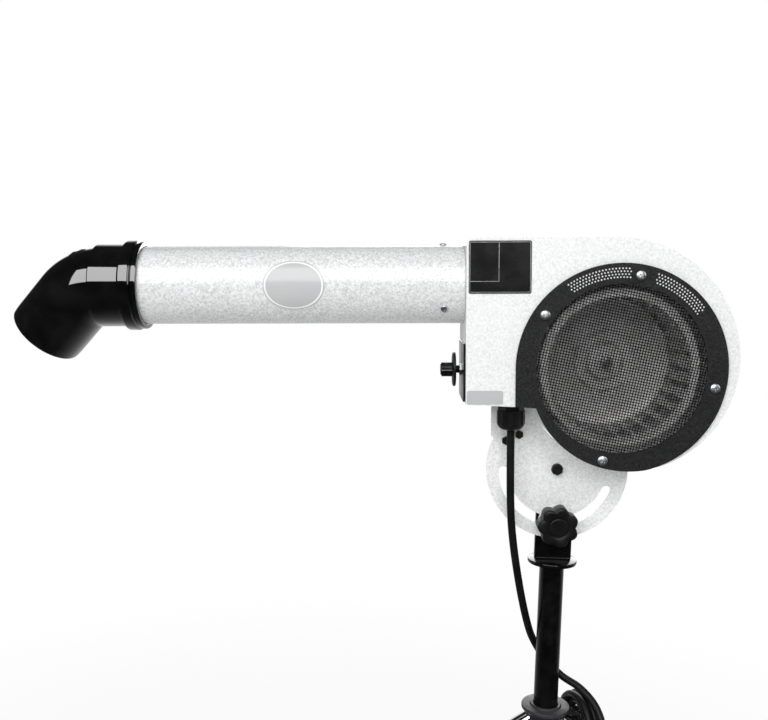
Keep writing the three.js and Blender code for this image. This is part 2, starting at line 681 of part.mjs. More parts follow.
add(nozzleGroup, 'nozzle', cut(nozzleOuter,
  swept(NOZZLE_R - NOZZLE_WALL, nozzleStations(socketStop + 4, 6), 18),
  rod(TUBE_R + GAP, socketStop, 2, 'x', 36)), GLOSS_BLACK);

// A plain oval badge bent round the tube's front.
const BADGE_X = BOX_LEFT - 213.7;
const BADGE_W = 77;
const BADGE_H = 60;
const FOIL = 0.6; // thickness of the badge and the plates
const oval = new THREE.Shape().absellipse(BADGE_X, 0, BADGE_W / 2, BADGE_H / 2, 0, 2 * Math.PI, false, 0);
const badgeSkin = pipe(TUBE_R + GAP, TUBE_R + GAP + FOIL, BADGE_X - BADGE_W, BADGE_X + BADGE_W, 'x', 44);
add(headGroup, 'tube_badge', onTube(badgeSkin.intersect(plate(oval, -TUBE_R - 5, -TUBE_R / 2 + 5, 14))), GREY);

// ---------------------------------------------------------------------------
// Plates, selector and cable gland
// ---------------------------------------------------------------------------

/** A rectangle in X and Z with rounded corners. */
function roundedRect(x0, x1, z0, z1, r) {
  const shape = new THREE.Shape();
  shape.absarc(x1 - r, z1 - r, r, 0, Math.PI / 2, false);
  shape.absarc(x0 + r, z1 - r, r, Math.PI / 2, Math.PI, false);
  shape.absarc(x0 + r, z0 + r, r, Math.PI, 1.5 * Math.PI, false);
  shape.absarc(x1 - r, z0 + r, r, 1.5 * Math.PI, 2 * Math.PI, false);
  return shape;
}

const labelBack = -HALF - GAP;
const labelFront = labelBack - FOIL;
const frontLabel = (left, top, width, height) =>
  plate(roundedRect(left, left + width, top - height, top, 2), labelFront, labelBack, 1);
const RATING_W = 76.5;
const RATING_H = 64.4;
const VOLTAGE_W = 44.6;
const VOLTAGE_H = 16.8;
add(headGroup, 'rating_plate', frontLabel(BOX_LEFT + 2.7, BOX_TOP - 3.6, RATING_W, RATING_H), BLACK_PLASTIC);
add(headGroup, 'voltage_plate',
  frontLabel(BOX_LEFT + 1.2, BOX_BOTTOM + 0.7 + VOLTAGE_H, VOLTAGE_W, VOLTAGE_H), GREY);

// The control plate and its label are drawn flat and stood against the left wall.
const CONTROL_H = 73.5;
const CONTROL_FRONT = 30; // from the selector to the plate's front edge
const CONTROL_BACK = 14.5; // from the selector to its rear edge, where the label begins
const LABEL_W = 43;
const CORNER = 6; // cut off the lower corners
const controlLow = BOX_BOTTOM + 1.5;
const controlHigh = controlLow + CONTROL_H;
const controlFront = SELECTOR_Y - CONTROL_FRONT;
const controlBack = SELECTOR_Y + CONTROL_BACK;
const controlShape = new THREE.Shape(pointsOf([
  [controlFront, controlLow + CORNER], [controlFront + CORNER, controlLow], [controlBack, controlLow],
  [controlBack, controlHigh], [controlFront, controlHigh],
]));
controlShape.holes.push(circleHole(SELECTOR_Y, SELECTOR_Z, 5.4));
const labelNear = controlBack + 0.5;
const labelFar = labelNear + LABEL_W;
const controlSide = new THREE.Shape(pointsOf([
  [labelNear, controlLow], [labelFar - CORNER + 1, controlLow], [labelFar, controlLow + CORNER - 1],
  [labelFar, controlHigh], [labelNear, controlHigh],
]));
const wallPlate = (shape, t) =>
  plate(shape, -t, 0, 16).rotate([0, 0, 90]).translate([BOX_LEFT - GAP - t, 0, 0]);
const controlT = 2.3;
add(headGroup, 'control_plate', wallPlate(controlShape, controlT), BLACK_PLASTIC);
add(headGroup, 'control_label', wallPlate(controlSide, controlT), GREY);

const onSelector = (body) => body.translate([0, SELECTOR_Y, SELECTOR_Z]);
const selectorSeat = BOX_LEFT - GAP - controlT;
const bushEnd = selectorSeat - 7.9; // past its nut
const spindleR = 3;
add(headGroup, 'selector_switch', onSelector(cut(
  join(block(wallInside + GAP, wallInside + 26, -14, 14, -14, 14), rod(5, bushEnd, wallInside + 2, 'x')),
  rod(spindleR + GAP, bushEnd - 1, wallInside + 14, 'x'))), BLACK_PLASTIC);
add(headGroup, 'selector_nut', onSelector(hexagon(14, selectorSeat - GAP - 3, selectorSeat - GAP, 'x', 5.3)), ZINC);
const knobSkirt = turned([
  [0, wallInside + 12], [spindleR, wallInside + 12], [spindleR, bushEnd - GAP], [20.5, bushEnd - GAP],
  [22, bushEnd - 1.6], [22, bushEnd - 3], [20, bushEnd - 4.6], [9.2, bushEnd - 5], [8, bushEnd - 18],
  [6.8, bushEnd - 19.5], [0, bushEnd - 19.5],
], 'x', 18);
add(headGroup, 'selector_knob', onSelector(join(knobSkirt,
  block(bushEnd - 18.5, bushEnd - 4, -2, 2, 6, 14))), BLACK_PLASTIC);

const onGland = (body) => body.translate([GLAND_X, GLAND_Y, 0]);
const cordR = CORD_D / 2;
const glandBore = cordR + GAP;
const wallZ = bottomZ(GLAND_X);
const glandSeat = BOX_BOTTOM - 10.5; // lower face of the body's hexagon
add(headGroup, 'gland_body', onGland(cut(join(
  rod(GLAND_R, glandSeat - 12, wallZ + 11, 'z', 20),
  hexagon(29, glandSeat, wallZ - 1.3, 'z'),
  hexagon(29, wallZ + SHEET + 1.2, wallZ + SHEET + 6.2, 'z')),
rod(glandBore, glandSeat - 22, wallZ + 30, 'z'))), BLACK_PLASTIC);
const GLAND_NUT_R = 18;
const GLAND_NUT_L = 25.7;
const nutTop = glandSeat - GAP;
const GLAND_END = nutTop - GLAND_NUT_L;
const flutes = [];
for (let k = 0; k < 8; k += 1) {
  flutes.push(block(GLAND_NUT_R - 1.6, GLAND_NUT_R + 2, -1.5, 1.5, GLAND_END + 6, nutTop - 2.7)
    .rotate([0, 0, (360 * k) / 8]));
}
add(headGroup, 'gland_nut', onGland(cut(turnedRing([
  [glandBore, GLAND_END], [GLAND_NUT_R / 2, GLAND_END], [GLAND_NUT_R - 3, GLAND_END + 2.5],
  [GLAND_NUT_R, GLAND_END + 8], [GLAND_NUT_R, nutTop],
  [GLAND_R + GAP, nutTop], [GLAND_R + GAP, nutTop - 12], [glandBore, nutTop - 12],
], 'z', 24), ...flutes)), BLACK_PLASTIC);

// ---------------------------------------------------------------------------
// Quadrant bracket
// ---------------------------------------------------------------------------

const EAR_T = 3;
const EAR_W = 48;
const EAR_CLEAR = 1.5; // from the ear to the start of the scroll
const scrollAt = scrollStart(0);
const EAR_RIGHT = aroundFan(scrollR(scrollAt), scrollAt).x - EAR_CLEAR;
const EAR_LEFT = EAR_RIGHT - EAR_W;
const EAR_LOW = 31;
const EAR_FLANGE = 25; // under the housing, toward the rear
const earBack = QUADRANT_FRONT + QUADRANT_T + GAP + EAR_T;
const earTop = (x) => bottomZ(x) - GAP;
const earSide = new THREE.Shape(pointsOf([
  [EAR_LEFT, EAR_LOW + 13], [EAR_LEFT + 12, EAR_LOW], [EAR_RIGHT, EAR_LOW],
  [EAR_RIGHT, earTop(EAR_RIGHT)], [EAR_LEFT, earTop(EAR_LEFT)],
]));
const earFlange = new THREE.Shape(pointsOf([
  [EAR_RIGHT, earTop(EAR_RIGHT) - EAR_T], [EAR_RIGHT, earTop(EAR_RIGHT)],
  [EAR_LEFT, earTop(EAR_LEFT)], [EAR_LEFT, earTop(EAR_LEFT) - EAR_T],
]));
const earBores = EAR_BOLTS.map(([x, z]) => rod(3.3, -20, 20, 'y', 16).translate([EAR_RIGHT + x, 0, z]));
add(headGroup, 'ear_bracket', cut(join(
  plate(earSide, earBack - EAR_T, earBack),
  plate(earFlange, earBack - 1, earBack + EAR_FLANGE + 1)), ...earBores), WHITE);

/** A curved slot about the pivot, its ends given in degrees from straight down. */
function arcSlot(radius, width, from, to) {
  const a = deg(from - 90);
  const b = deg(to - 90);
  const w = width / 2;
  const points = [];
  const arc = (cx, cz, r, start, end, steps) => {
    for (let i = 0; i <= steps; i += 1) {
      const t = start + ((end - start) * i) / steps;
      points.push(new THREE.Vector2(cx + r * Math.cos(t), cz + r * Math.sin(t)));
    }
  };
  arc(0, 0, radius + w, a, b, 16);
  arc(radius * Math.cos(b), radius * Math.sin(b), w, b + 0.5, b + Math.PI - 0.5, 4);
  arc(0, 0, radius - w, b, a, 16);
  arc(radius * Math.cos(a), radius * Math.sin(a), w, a + Math.PI + 0.5, a + 2 * Math.PI - 0.5, 4);
  return new THREE.Path(points);
}

const quadrantShape = new THREE.Shape().absarc(0, 0, QUADRANT_R, 0, 2 * Math.PI, false);
quadrantShape.holes.push(arcSlot(SLOT_R, SLOT_W, SLOT_LEFT, SLOT_RIGHT));
quadrantShape.holes.push(circleHole(0, 0, BOLT_R + GAP));
const quadrantBack = QUADRANT_FRONT + QUADRANT_T;
add(headGroup, 'quadrant_plate', cut(plate(quadrantShape, QUADRANT_FRONT, quadrantBack, 16),
  plate(new THREE.Shape(housingPoints(-1)), -30, 30), ...earBores), SILVER);
EAR_BOLTS.forEach(([x, z], i) => {
  add(headGroup, `ear_bolt_${i + 1}`, join(
    hexagon(10, QUADRANT_FRONT - GAP - 4, QUADRANT_FRONT - GAP, 'y'),
    rod(3, QUADRANT_FRONT - GAP - 1, earBack + 7, 'y', 14)).translate([EAR_RIGHT + x, 0, z]), ZINC);
});

// ---------------------------------------------------------------------------
// Post: tongue, tube with its disc, pivot bolt and tilt clamp
// ---------------------------------------------------------------------------

const tongueHalf = TONGUE_W / 2;
const tongueShape = new THREE.Shape();
tongueShape.moveTo(-tongueHalf, POST_TOP + GAP - PIVOT_Z);
tongueShape.lineTo(tongueHalf, POST_TOP + GAP - PIVOT_Z);
tongueShape.absarc(0, 0, tongueHalf, 0, Math.PI, false);
tongueShape.closePath();
tongueShape.holes.push(circleHole(0, 0, BOLT_R + GAP), circleHole(0, -SLOT_R, BOLT_R + GAP));
const atPivot = (body) => body.translate([0, 0, PIVOT_Z]);
const atClamp = (body) => body.translate([0, 0, PIVOT_Z - SLOT_R]);
add(postGroup, 'tongue', atPivot(plate(tongueShape, -TONGUE_T / 2, TONGUE_T / 2, 10)), GLOSS_BLACK);

const postBore = POST_R - POST_WALL;
const columnBore = COLUMN_R - COLUMN_WALL;
const guideR = columnBore - GAP;
add(postGroup, 'post_tube', turned([
  [0, POST_TOP], [DISC_R - 1, POST_TOP], [DISC_R, POST_TOP - 1], [DISC_R, POST_TOP - DISC_T + 1],
  [DISC_R - 1, POST_TOP - DISC_T], [POST_R, POST_TOP - DISC_T], [POST_R, POST_END + 20], [guideR, POST_END + 20],
  [guideR, POST_END], [postBore, POST_END], [postBore, POST_TOP - DISC_T - 2], [0, POST_TOP - DISC_T - 2],
], 'z', 24), GLOSS_BLACK);

const tongueFront = -TONGUE_T / 2;
const tongueRear = TONGUE_T / 2 + GAP;
add(postGroup, 'pivot_bolt', atPivot(join(
  hexagon(13, QUADRANT_FRONT - GAP - 5.5, QUADRANT_FRONT - GAP, 'y'),
  rod(BOLT_R, QUADRANT_FRONT - 1, tongueRear + 9.5, 'y'))), ZINC);
add(postGroup, 'pivot_nut', atPivot(hexagon(13, tongueRear, tongueRear + 7, 'y', BOLT_R + GAP)), ZINC);

const WASHER_T = 2;
const washerFront = QUADRANT_FRONT - GAP - WASHER_T;
const knobSeat = washerFront - GAP;
add(postGroup, 'clamp_washer', atClamp(pipe(BOLT_R + GAP, 22, washerFront, QUADRANT_FRONT - GAP, 'y', 22)), SILVER);
add(postGroup, 'clamp_stud', atClamp(join(
  hexagon(13, tongueRear, tongueRear + 5.5, 'y'),
  rod(BOLT_R, knobSeat - 22, tongueRear + 1, 'y'))), ZINC);
const tiltKnob = add(postGroup, 'tilt_knob', lobedKnob(26.5, 7, 31, 15, 6, 12, BOLT_R + GAP, 24), BLACK_PLASTIC);
tiltKnob.rotation.x = Math.PI;
tiltKnob.rotation.y = deg(180 / 7);
tiltKnob.position.set(0, knobSeat, PIVOT_Z - SLOT_R);

// ---------------------------------------------------------------------------
// Stand: swivel bush, column, collar, legs and height lock
// ---------------------------------------------------------------------------

const lockOut = vec(Math.cos(deg(LOCK_AZIMUTH)), Math.sin(deg(LOCK_AZIMUTH)), 0);
const alongLock = (r, from, to, segments) => rodBetween(r,
  vec(0, 0, LOCK_Z).addScaledVector(lockOut, from), vec(0, 0, LOCK_Z).addScaledVector(lockOut, to), segments);
const bushR = columnBore - GAP;
const bushBore = POST_R + GAP;
const bushEndZ = STAND_TOP - 65;
const grooveR = bushR - 2.2;
const grooveHalf = BOLT_R + 0.6;
add(standGroup, 'swivel_bush', cut(turnedRing([
  [bushBore, bushEndZ], [bushR, bushEndZ], [bushR, LOCK_Z - grooveHalf], [grooveR, LOCK_Z - grooveHalf],
  [grooveR, LOCK_Z + grooveHalf], [bushR, LOCK_Z + grooveHalf], [bushR, STAND_TOP - DISC_T],
  [DISC_R - 1, STAND_TOP - DISC_T], [DISC_R, STAND_TOP - DISC_T + 1], [DISC_R, STAND_TOP - 1],
  [DISC_R - 1, STAND_TOP], [bushBore, STAND_TOP],
], 'z', 22), block(-bushR - 5, -bushBore + 5, -1, 1, bushEndZ - 1, STAND_TOP - 12)), NYLON);

const columnTop = STAND_TOP - DISC_T - GAP;
add(standGroup, 'column', cut(
  pipe(columnBore, COLUMN_R, COLUMN_END, columnTop, 'z', 28), alongLock(BOLT_R + 0.5, 15, 30)), CHROME);
add(standGroup, 'column_cap', turned([
  [0, COLUMN_END - 5], [COLUMN_R - 1.5, COLUMN_END - 5], [COLUMN_R, COLUMN_END - 3.5], [COLUMN_R, COLUMN_END - GAP],
  [columnBore - GAP, COLUMN_END - GAP], [columnBore - GAP, COLUMN_END + 14], [0, COLUMN_END + 14],
], 'z', 22), BLACK_PLASTIC);

const collarBore = COLUMN_R + GAP;
add(standGroup, 'hub_collar', cut(join(
  turned([[0, columnTop - COLLAR_L], [COLLAR_R, columnTop - COLLAR_L], [COLLAR_R, columnTop - 1.5],
    [COLLAR_R - 1.5, columnTop], [0, columnTop]], 'z', 28),
  alongLock(10, 20, LOCK_SEAT, 16)),
rod(collarBore, columnTop - COLLAR_L - 1, columnTop + 1, 'z', 28), alongLock(BOLT_R + 0.5, 15, 60)), CHROME);

// A leg runs out from the collar, bends down at the knee and ends in a rubber foot.
const kneeZ = LEG_ROOT_Z - (LEG_KNEE_R - COLLAR_R) * Math.tan(deg(LEG_SLOPE));
const footRun = vec(Math.cos(deg(LEG_FOOT_SLOPE)), 0, -Math.sin(deg(LEG_FOOT_SLOPE)));
const legStart = vec(12, 0, LEG_ROOT_Z + (COLLAR_R - 12) * Math.tan(deg(LEG_SLOPE)));
const knee = vec(LEG_KNEE_R, 0, kneeZ);
const legEnd = knee.clone().addScaledVector(footRun, (kneeZ - LEG_END_Z) / Math.sin(deg(LEG_FOOT_SLOPE)));
const beyond = (extra) => legEnd.clone().addScaledVector(footRun, extra);
const legStations = (extra) => bentStations([legStart, knee, beyond(extra)], LEG_KNEE_BEND_R, 5);
const legBody = cut(swept(LEG_R, legStations(0), 14), swept(LEG_R - LEG_WALL, legStations(3), 8),
  rod(COLLAR_R + GAP, 0, 2 * LEG_ROOT_Z, 'z', 36));
const footTilt = new THREE.Quaternion().setFromUnitVectors(vec(0, 1, 0), footRun.clone().negate());
const footGeometry = new THREE.LatheGeometry([[0, -28], [FOOT_R, -28], [FOOT_R, 2], [LEG_R + 3, 25],
  [LEG_R + 1.5, 26], [LEG_R + GAP, 26], [LEG_R + GAP, -GAP], [0, -GAP]]
  .map(([r, s]) => new THREE.Vector2(r, s)), 14);
footGeometry.applyQuaternion(footTilt);
footGeometry.translate(legEnd.x, legEnd.y, legEnd.z);
const footBody = cut(solid(footGeometry),
  block(legEnd.x - 100, legEnd.x + 100, -60, 60, -60, 0));
LEG_AZIMUTHS.forEach((azimuth, i) => {
  const leg = add(standGroup, `leg_${i + 1}`, legBody, CHROME);
  leg.rotation.z = deg(azimuth);
  const foot = add(standGroup, `foot_${i + 1}`, footBody, RUBBER);
  foot.rotation.z = deg(azimuth);
});

const lockKnobAt = LOCK_SEAT + 0.5;
const lockKnob = add(standGroup, 'height_knob', join(
  lobedKnob(21, 6, 18, 9, 2, 9, 0, 0),
  rod(BOLT_R, bushR - 1.7 - lockKnobAt, 1, 'y')), BLACK_PLASTIC);
lockKnob.quaternion.setFromUnitVectors(vec(0, 1, 0), lockOut);
lockKnob.position.copy(vec(0, 0, LOCK_Z).addScaledVector(lockOut, lockKnobAt));

// ---------------------------------------------------------------------------
// Mains cord: free stretch, hank over the height knob, and plug
// ---------------------------------------------------------------------------

/** A point of the head's frame, carried to the object's frame. */
function fromHead(x, y, z) {
  return vec(x, y, z).applyAxisAngle(vec(0, 1, 0), -HEAD_DIP).add(vec(0, 0, PIVOT_Z));
}

// The hank is wound flat in two layers, each a plane square to the height knob's axis.
const HANK_RUN = 150; // straight run between the two folds
const HANK_IN = 27.6; // fold radius of the innermost turn
const HANK_PITCH = CORD_D + 1.3; // from turn to turn
const HANK_LAYER = CORD_D + 1.1; // from layer to layer
const HANK_OUTER = lockKnobAt + 14.4; // plane of the layer that is wound first
const HANK_HALF_TURNS = 3; // in the layer that is wound first
const lockSide = vec(-lockOut.y, lockOut.x, 0); // toward the rear

/** A point of the hank: s along the lock's axis, u to its side, z height. */
const hankPoint = (s, u, z) => vec(0, 0, z).addScaledVector(lockOut, s).addScaledVector(lockSide, u);

const hankStations = [];
const foldSteps = 8;
const runSteps = 4;

/** Winds one run at s0, then one fold that ends at s1. Side -1 goes down the front, +1 up the rear. */
function windHalf(side, rStart, rFold, rEnd, s0, s1) {
  const low = LOCK_Z - HANK_RUN;
  const from = side < 0 ? LOCK_Z : low;
  const to = side < 0 ? low : LOCK_Z;
  for (let i = 0; i < runSteps; i += 1) {
    const t = i / runSteps;
    hankStations.push(hankPoint(s0, side * (rStart + (rFold - rStart) * t), from + (to - from) * t));
  }
  for (let i = 0; i < foldSteps; i += 1) {
    const t = i / foldSteps;
    const r = rFold + (rEnd - rFold) * t;
    const a = Math.PI * t;
    hankStations.push(hankPoint(s0 + (s1 - s0) * t, side * r * Math.cos(a), to + side * r * Math.sin(a)));
  }
}

// Three half turns spiral in, one climbs to the inner layer over its top fold, two spiral out.
const step = HANK_PITCH / 4; // change of radius over a run or a fold
const HANK_INNER = HANK_OUTER - HANK_LAYER;
let turnR = HANK_IN + (2 * HANK_HALF_TURNS + 1) * step;
let side = -1;
for (let k = 0; k < HANK_HALF_TURNS; k += 1) {
  windHalf(side, turnR, turnR - step, turnR - 2 * step, HANK_OUTER, HANK_OUTER);
  turnR -= 2 * step;
  side = -side;
}
windHalf(side, turnR, turnR - step, turnR - step, HANK_OUTER, HANK_INNER);
turnR -= step;
side = -side;
for (let k = 0; k < 2; k += 1) {
  windHalf(side, turnR, turnR + step, turnR + 2 * step, HANK_INNER, HANK_INNER);
  turnR += 2 * step;
  side = -side;
}
const TAIL_L = 30; // below the folds
for (let i = 0; i <= 4; i += 1) {
  const t = i / 4;
  hankStations.push(hankPoint(HANK_INNER, side * (turnR + step * t), LOCK_Z - HANK_RUN * t));
}
turnR += step;
hankStations.push(hankPoint(HANK_INNER, side * turnR, LOCK_Z - HANK_RUN - TAIL_L / 2));
hankStations.push(hankPoint(HANK_INNER, side * turnR, LOCK_Z - HANK_RUN - TAIL_L));
const hankFirst = hankStations[0].clone();
hankStations.unshift(hankFirst.clone().add(vec(0, 0, CORD_D)));
const hankChain = hankStations.map((point, i) => {
  const before = hankStations[Math.max(i - 1, 0)];
  const after = hankStations[Math.min(i + 1, hankStations.length - 1)];
  return { point, tangent: after.clone().sub(before).normalize() };
});
hankChain[1].tangent.set(0, 0, -1);
const cordHank = add(object, 'cord_hank', swept(cordR, hankChain, 6), RUBBER);

// The plug hangs from the tail.
const plugAt = hankStations[hankStations.length - 1];
const plugTop = plugAt.z - GAP;
const plugPins = [-7, 0, 7].map((u, i) => rod(2.3, -44 - 19, -43, 'z', 12).translate([u, i === 1 ? 4 : 0, 0]));
const plugBody = join(turned([
  [0, 0], [7, 0], [9.5, -18], [17, -28], [18, -40], [16.5, -44], [0, -44],
], 'z', 18), ...plugPins).translate([plugAt.x, plugAt.y, plugTop]);
const plug = add(object, 'plug', plugBody, BLACK_PLASTIC);

// The free stretch leaves the gland, passes behind the post and joins the hank from above.
const glandMouth = fromHead(GLAND_X, GLAND_Y, GLAND_END - GAP);
const glandAim = fromHead(GLAND_X, GLAND_Y, GLAND_END - GAP - CORD_D);
const hankMouth = hankFirst.clone().add(vec(0, 0, CORD_D + GAP));
const hankAim = hankMouth.clone().add(vec(0, 0, CORD_D));
const cordRoute = [
  glandMouth, glandAim, vec(-60, -30, PIVOT_Z - 63), vec(-48, -20, PIVOT_Z - 136), vec(-30, 0, PIVOT_Z - 208),
  vec(-17, 19, PIVOT_Z - 242), vec(2, 28, PIVOT_Z - 272), vec(24, 23, PIVOT_Z - 293),
  vec(47, 8, PIVOT_Z - 303), vec(64, -10, PIVOT_Z - 318), hankAim, hankMouth,
];
const cordFree = add(object, 'cord_free', swept(cordR, smoothStations(cordRoute, 24), 8), RUBBER);

// ---------------------------------------------------------------------------
// Origin: the middle of the dryer's own box, on the floor
// ---------------------------------------------------------------------------

const cordPieces = [cordFree, cordHank, plug];
object.updateMatrixWorld(true);
const ownBox = new THREE.Box3();
object.traverse((node) => {
  if (node.isMesh && !cordPieces.includes(node)) ownBox.expandByObject(node, true);
});
const middle = ownBox.getCenter(new THREE.Vector3());
object.position.set(-middle.x, -middle.y, -ownBox.min.z);
object.updateMatrixWorld(true);

/** Least distance between two stretches of a chain that aren't neighbours, less the cord. */
function selfGap(stations) {
  const curve = new THREE.CurvePath();
  for (let i = 1; i < stations.length; i += 1) {
    curve.add(new THREE.LineCurve3(stations[i - 1].point, stations[i].point));
  }
  const steps = Math.round(curve.getLength() / 2.5);
  const points = curve.getSpacedPoints(steps);
  let least = Infinity;
  for (let i = 0; i < points.length; i += 1) {
    for (let j = i + 16; j < points.length; j += 1) least = Math.min(least, points[i].distanceTo(points[j]));
  }
  return least - CORD_D;
}

const cordLength = runLength(smoothStations(cordRoute, 200)) + runLength(hankChain);
console.log(`box ${ownBox.getSize(new THREE.Vector3()).toArray().map((v) => v.toFixed(1))}`);
console.log(`offset ${object.position.toArray().map((v) => v.toFixed(3))}`);
console.log(`hank's least gap to itself ${selfGap(hankChain).toFixed(2)}`);
console.log(`cord length ${cordLength.toFixed(0)}, hank ${runLength(hankChain).toFixed(0)}`);

export default object;
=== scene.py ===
# A pet dryer on a stand, dressed for a plain studio: finer forms and real surfaces over the frame.
# Forms are drawn in millimetres in the part's own frames and brought to metres in the row's frame.

import math

import bmesh
import bpy
from mathutils import Matrix, Vector


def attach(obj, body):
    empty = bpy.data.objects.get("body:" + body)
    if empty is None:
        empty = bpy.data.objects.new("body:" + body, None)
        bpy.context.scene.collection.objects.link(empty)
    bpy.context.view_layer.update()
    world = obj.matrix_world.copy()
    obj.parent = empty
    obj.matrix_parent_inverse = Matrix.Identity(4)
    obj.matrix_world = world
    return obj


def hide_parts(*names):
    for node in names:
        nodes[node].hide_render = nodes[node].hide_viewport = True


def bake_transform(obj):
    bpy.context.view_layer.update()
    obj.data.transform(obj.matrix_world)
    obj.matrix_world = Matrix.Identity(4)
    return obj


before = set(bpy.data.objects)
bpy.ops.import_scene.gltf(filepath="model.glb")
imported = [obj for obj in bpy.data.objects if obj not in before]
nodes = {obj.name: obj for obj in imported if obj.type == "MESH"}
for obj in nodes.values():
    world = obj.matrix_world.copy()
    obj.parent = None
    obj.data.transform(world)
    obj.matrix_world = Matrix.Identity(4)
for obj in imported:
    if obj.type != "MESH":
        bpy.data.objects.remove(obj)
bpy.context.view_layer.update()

# ---------------------------------------------------------------------------
# Sizes, as in the part
# ---------------------------------------------------------------------------

GAP = 0.3
SHEET = 1.5
PIVOT_Z = 743.4
HEAD_DIP = math.radians(1.71)
BOX_LEFT, BOX_TOP, BOX_BOTTOM, BOTTOM_SLOPE = -123.0, 298.0, 92.5, -0.0465
HALF = 60.0
FAN_X, FAN_Z = 68.0, 137.0
INTAKE_R, SHAFT_HOLE_R = 107, 16
SCROLL_FROM, SCROLL_TO, SCROLL_R = 205.0, 450.0, 115.2
SCROLL_GROWTH = (BOX_TOP - FAN_Z - SCROLL_R) / (SCROLL_TO - SCROLL_FROM)
RING_HOLE_R, RING_R, RING_T = 104.5, 130.0, 3.0
RING_TO = SCROLL_FROM + (RING_R - SCROLL_R) / SCROLL_GROWTH
RING_SCREW_R = 116.0
RING_SCREWS = [145, 80, -12, 259]
TUBE_R, TUBE_WALL, TUBE_Z, TUBE_END = 50.0, 1.2, 240.8, -562.5
TUBE_SCREW_X = -149.0
TUBE_SCREWS = [216, 90, 324]
NOZZLE_MOUTH = -532.6
NOZZLE_R, NOZZLE_WALL = 49.3, 2.6
NOZZLE_BEND, NOZZLE_BEND_R, NOZZLE_OUTLET_L = math.radians(47), 58.0, 63.0
NOZZLE_BEND_START = -588.7
NOZZLE_ROLL = math.radians(17.5)
SELECTOR_Y, SELECTOR_Z = -20.0, 133.0
GLAND_X, GLAND_Y, GLAND_END = -63.5, -30.0, 56.0
SELECTOR_HOLE_R, GLAND_HOLE_R, BOLT_HOLE_R = 5.4, 12.4, 4.3
MOTOR_L = 90
BADGE_X = -336.7
CORD_D = 10.0
QUADRANT_R, QUADRANT_T, QUADRANT_FRONT = 92.0, 3.0, -6.3
SLOT_R, SLOT_W, SLOT_LEFT, SLOT_RIGHT = 70.0, 12.5, -88.0, 66.0
EAR_BOLTS = [(-12, 46), (-29, 38)]  # from the ear's right edge, and above the pivot
POST_R, POST_TOP, DISC_R, DISC_T, POST_END = 16.0, PIVOT_Z - 121.5, 32.0, 5.0, 90.0
STAND_TOP, COLUMN_R, COLUMN_END = 420.0, 25.4, 62.0
COLLAR_R, COLLAR_L = 28.5, 58.0
LEG_AZIMUTHS = [80, 200, 320]
LEG_R, LEG_ROOT_Z, LEG_SLOPE = 11.0, 402.0, math.radians(24)
LEG_KNEE_R, LEG_KNEE_BEND_R, LEG_FOOT_SLOPE, LEG_END_Z = 300.0, 100.0, math.radians(72), 14.0
FOOT_R = 15.0
LOCK_AZIMUTH, LOCK_Z, LOCK_SEAT = math.radians(20), 387.4, 43.5
OFFSET = (200.514, -67.119, 0.0)  # from the post's axis to the row's origin


def shift(x, y, z):
    return Matrix.Translation((x, y, z))


def spun(degrees, axis):
    return Matrix.Rotation(math.radians(degrees), 4, axis)


TO_ROW = Matrix.Scale(0.001, 4) @ Matrix.Translation(OFFSET)
HEAD = TO_ROW @ shift(0, 0, PIVOT_Z) @ Matrix.Rotation(-HEAD_DIP, 4, "Y")
NOZZLE = HEAD @ shift(NOZZLE_MOUTH, 0, TUBE_Z) @ Matrix.Rotation(NOZZLE_ROLL, 4, "X")
FAN = HEAD @ shift(FAN_X, 0, FAN_Z)
PIVOT = TO_ROW @ shift(0, 0, PIVOT_Z)
CLAMP = TO_ROW @ shift(0, 0, PIVOT_Z - SLOT_R)

# ---------------------------------------------------------------------------
# Camera
# ---------------------------------------------------------------------------

SENSOR_W = 36  # mm
IMAGE_W, FOCAL = 768, 891.9  # pixels
CAMERA_AT = (-0.007086, -1.224919, 0.9895)
PITCH, YAW, ROLL = math.radians(5.43), math.radians(-1.10), math.radians(1.52)
forward = Vector((math.sin(YAW) * math.cos(PITCH), math.cos(YAW) * math.cos(PITCH), -math.sin(PITCH)))
level = Vector((math.cos(YAW), -math.sin(YAW), 0))
upward = level.cross(forward)
right = level * math.cos(ROLL) + upward * math.sin(ROLL)
up = upward * math.cos(ROLL) - level * math.sin(ROLL)
lens = bpy.data.cameras.new("camera")
lens.sensor_fit = "HORIZONTAL"
lens.sensor_width = SENSOR_W
lens.lens = SENSOR_W * FOCAL / IMAGE_W
lens.clip_start = 0.05
lens.clip_end = 60
camera = bpy.data.objects.new("camera", lens)
bpy.context.scene.collection.objects.link(camera)
view = Matrix((right, up, -forward)).transposed().to_4x4()
camera.matrix_world = Matrix.Translation(CAMERA_AT) @ view
bpy.context.scene.camera = camera

# ---------------------------------------------------------------------------
# Making forms
# ---------------------------------------------------------------------------


def ring_quads(low, high, count, turned=False):
    """Faces between two closed rows of vertices, numbered from low and high, or those faces turned over."""
    faces = []
    for k in range(count):
        m = (k + 1) % count
        if turned:
            faces.append((low + k, high + k, high + m, low + m))
        else:
            faces.append((low + k, low + m, high + m, high + k))
    return faces


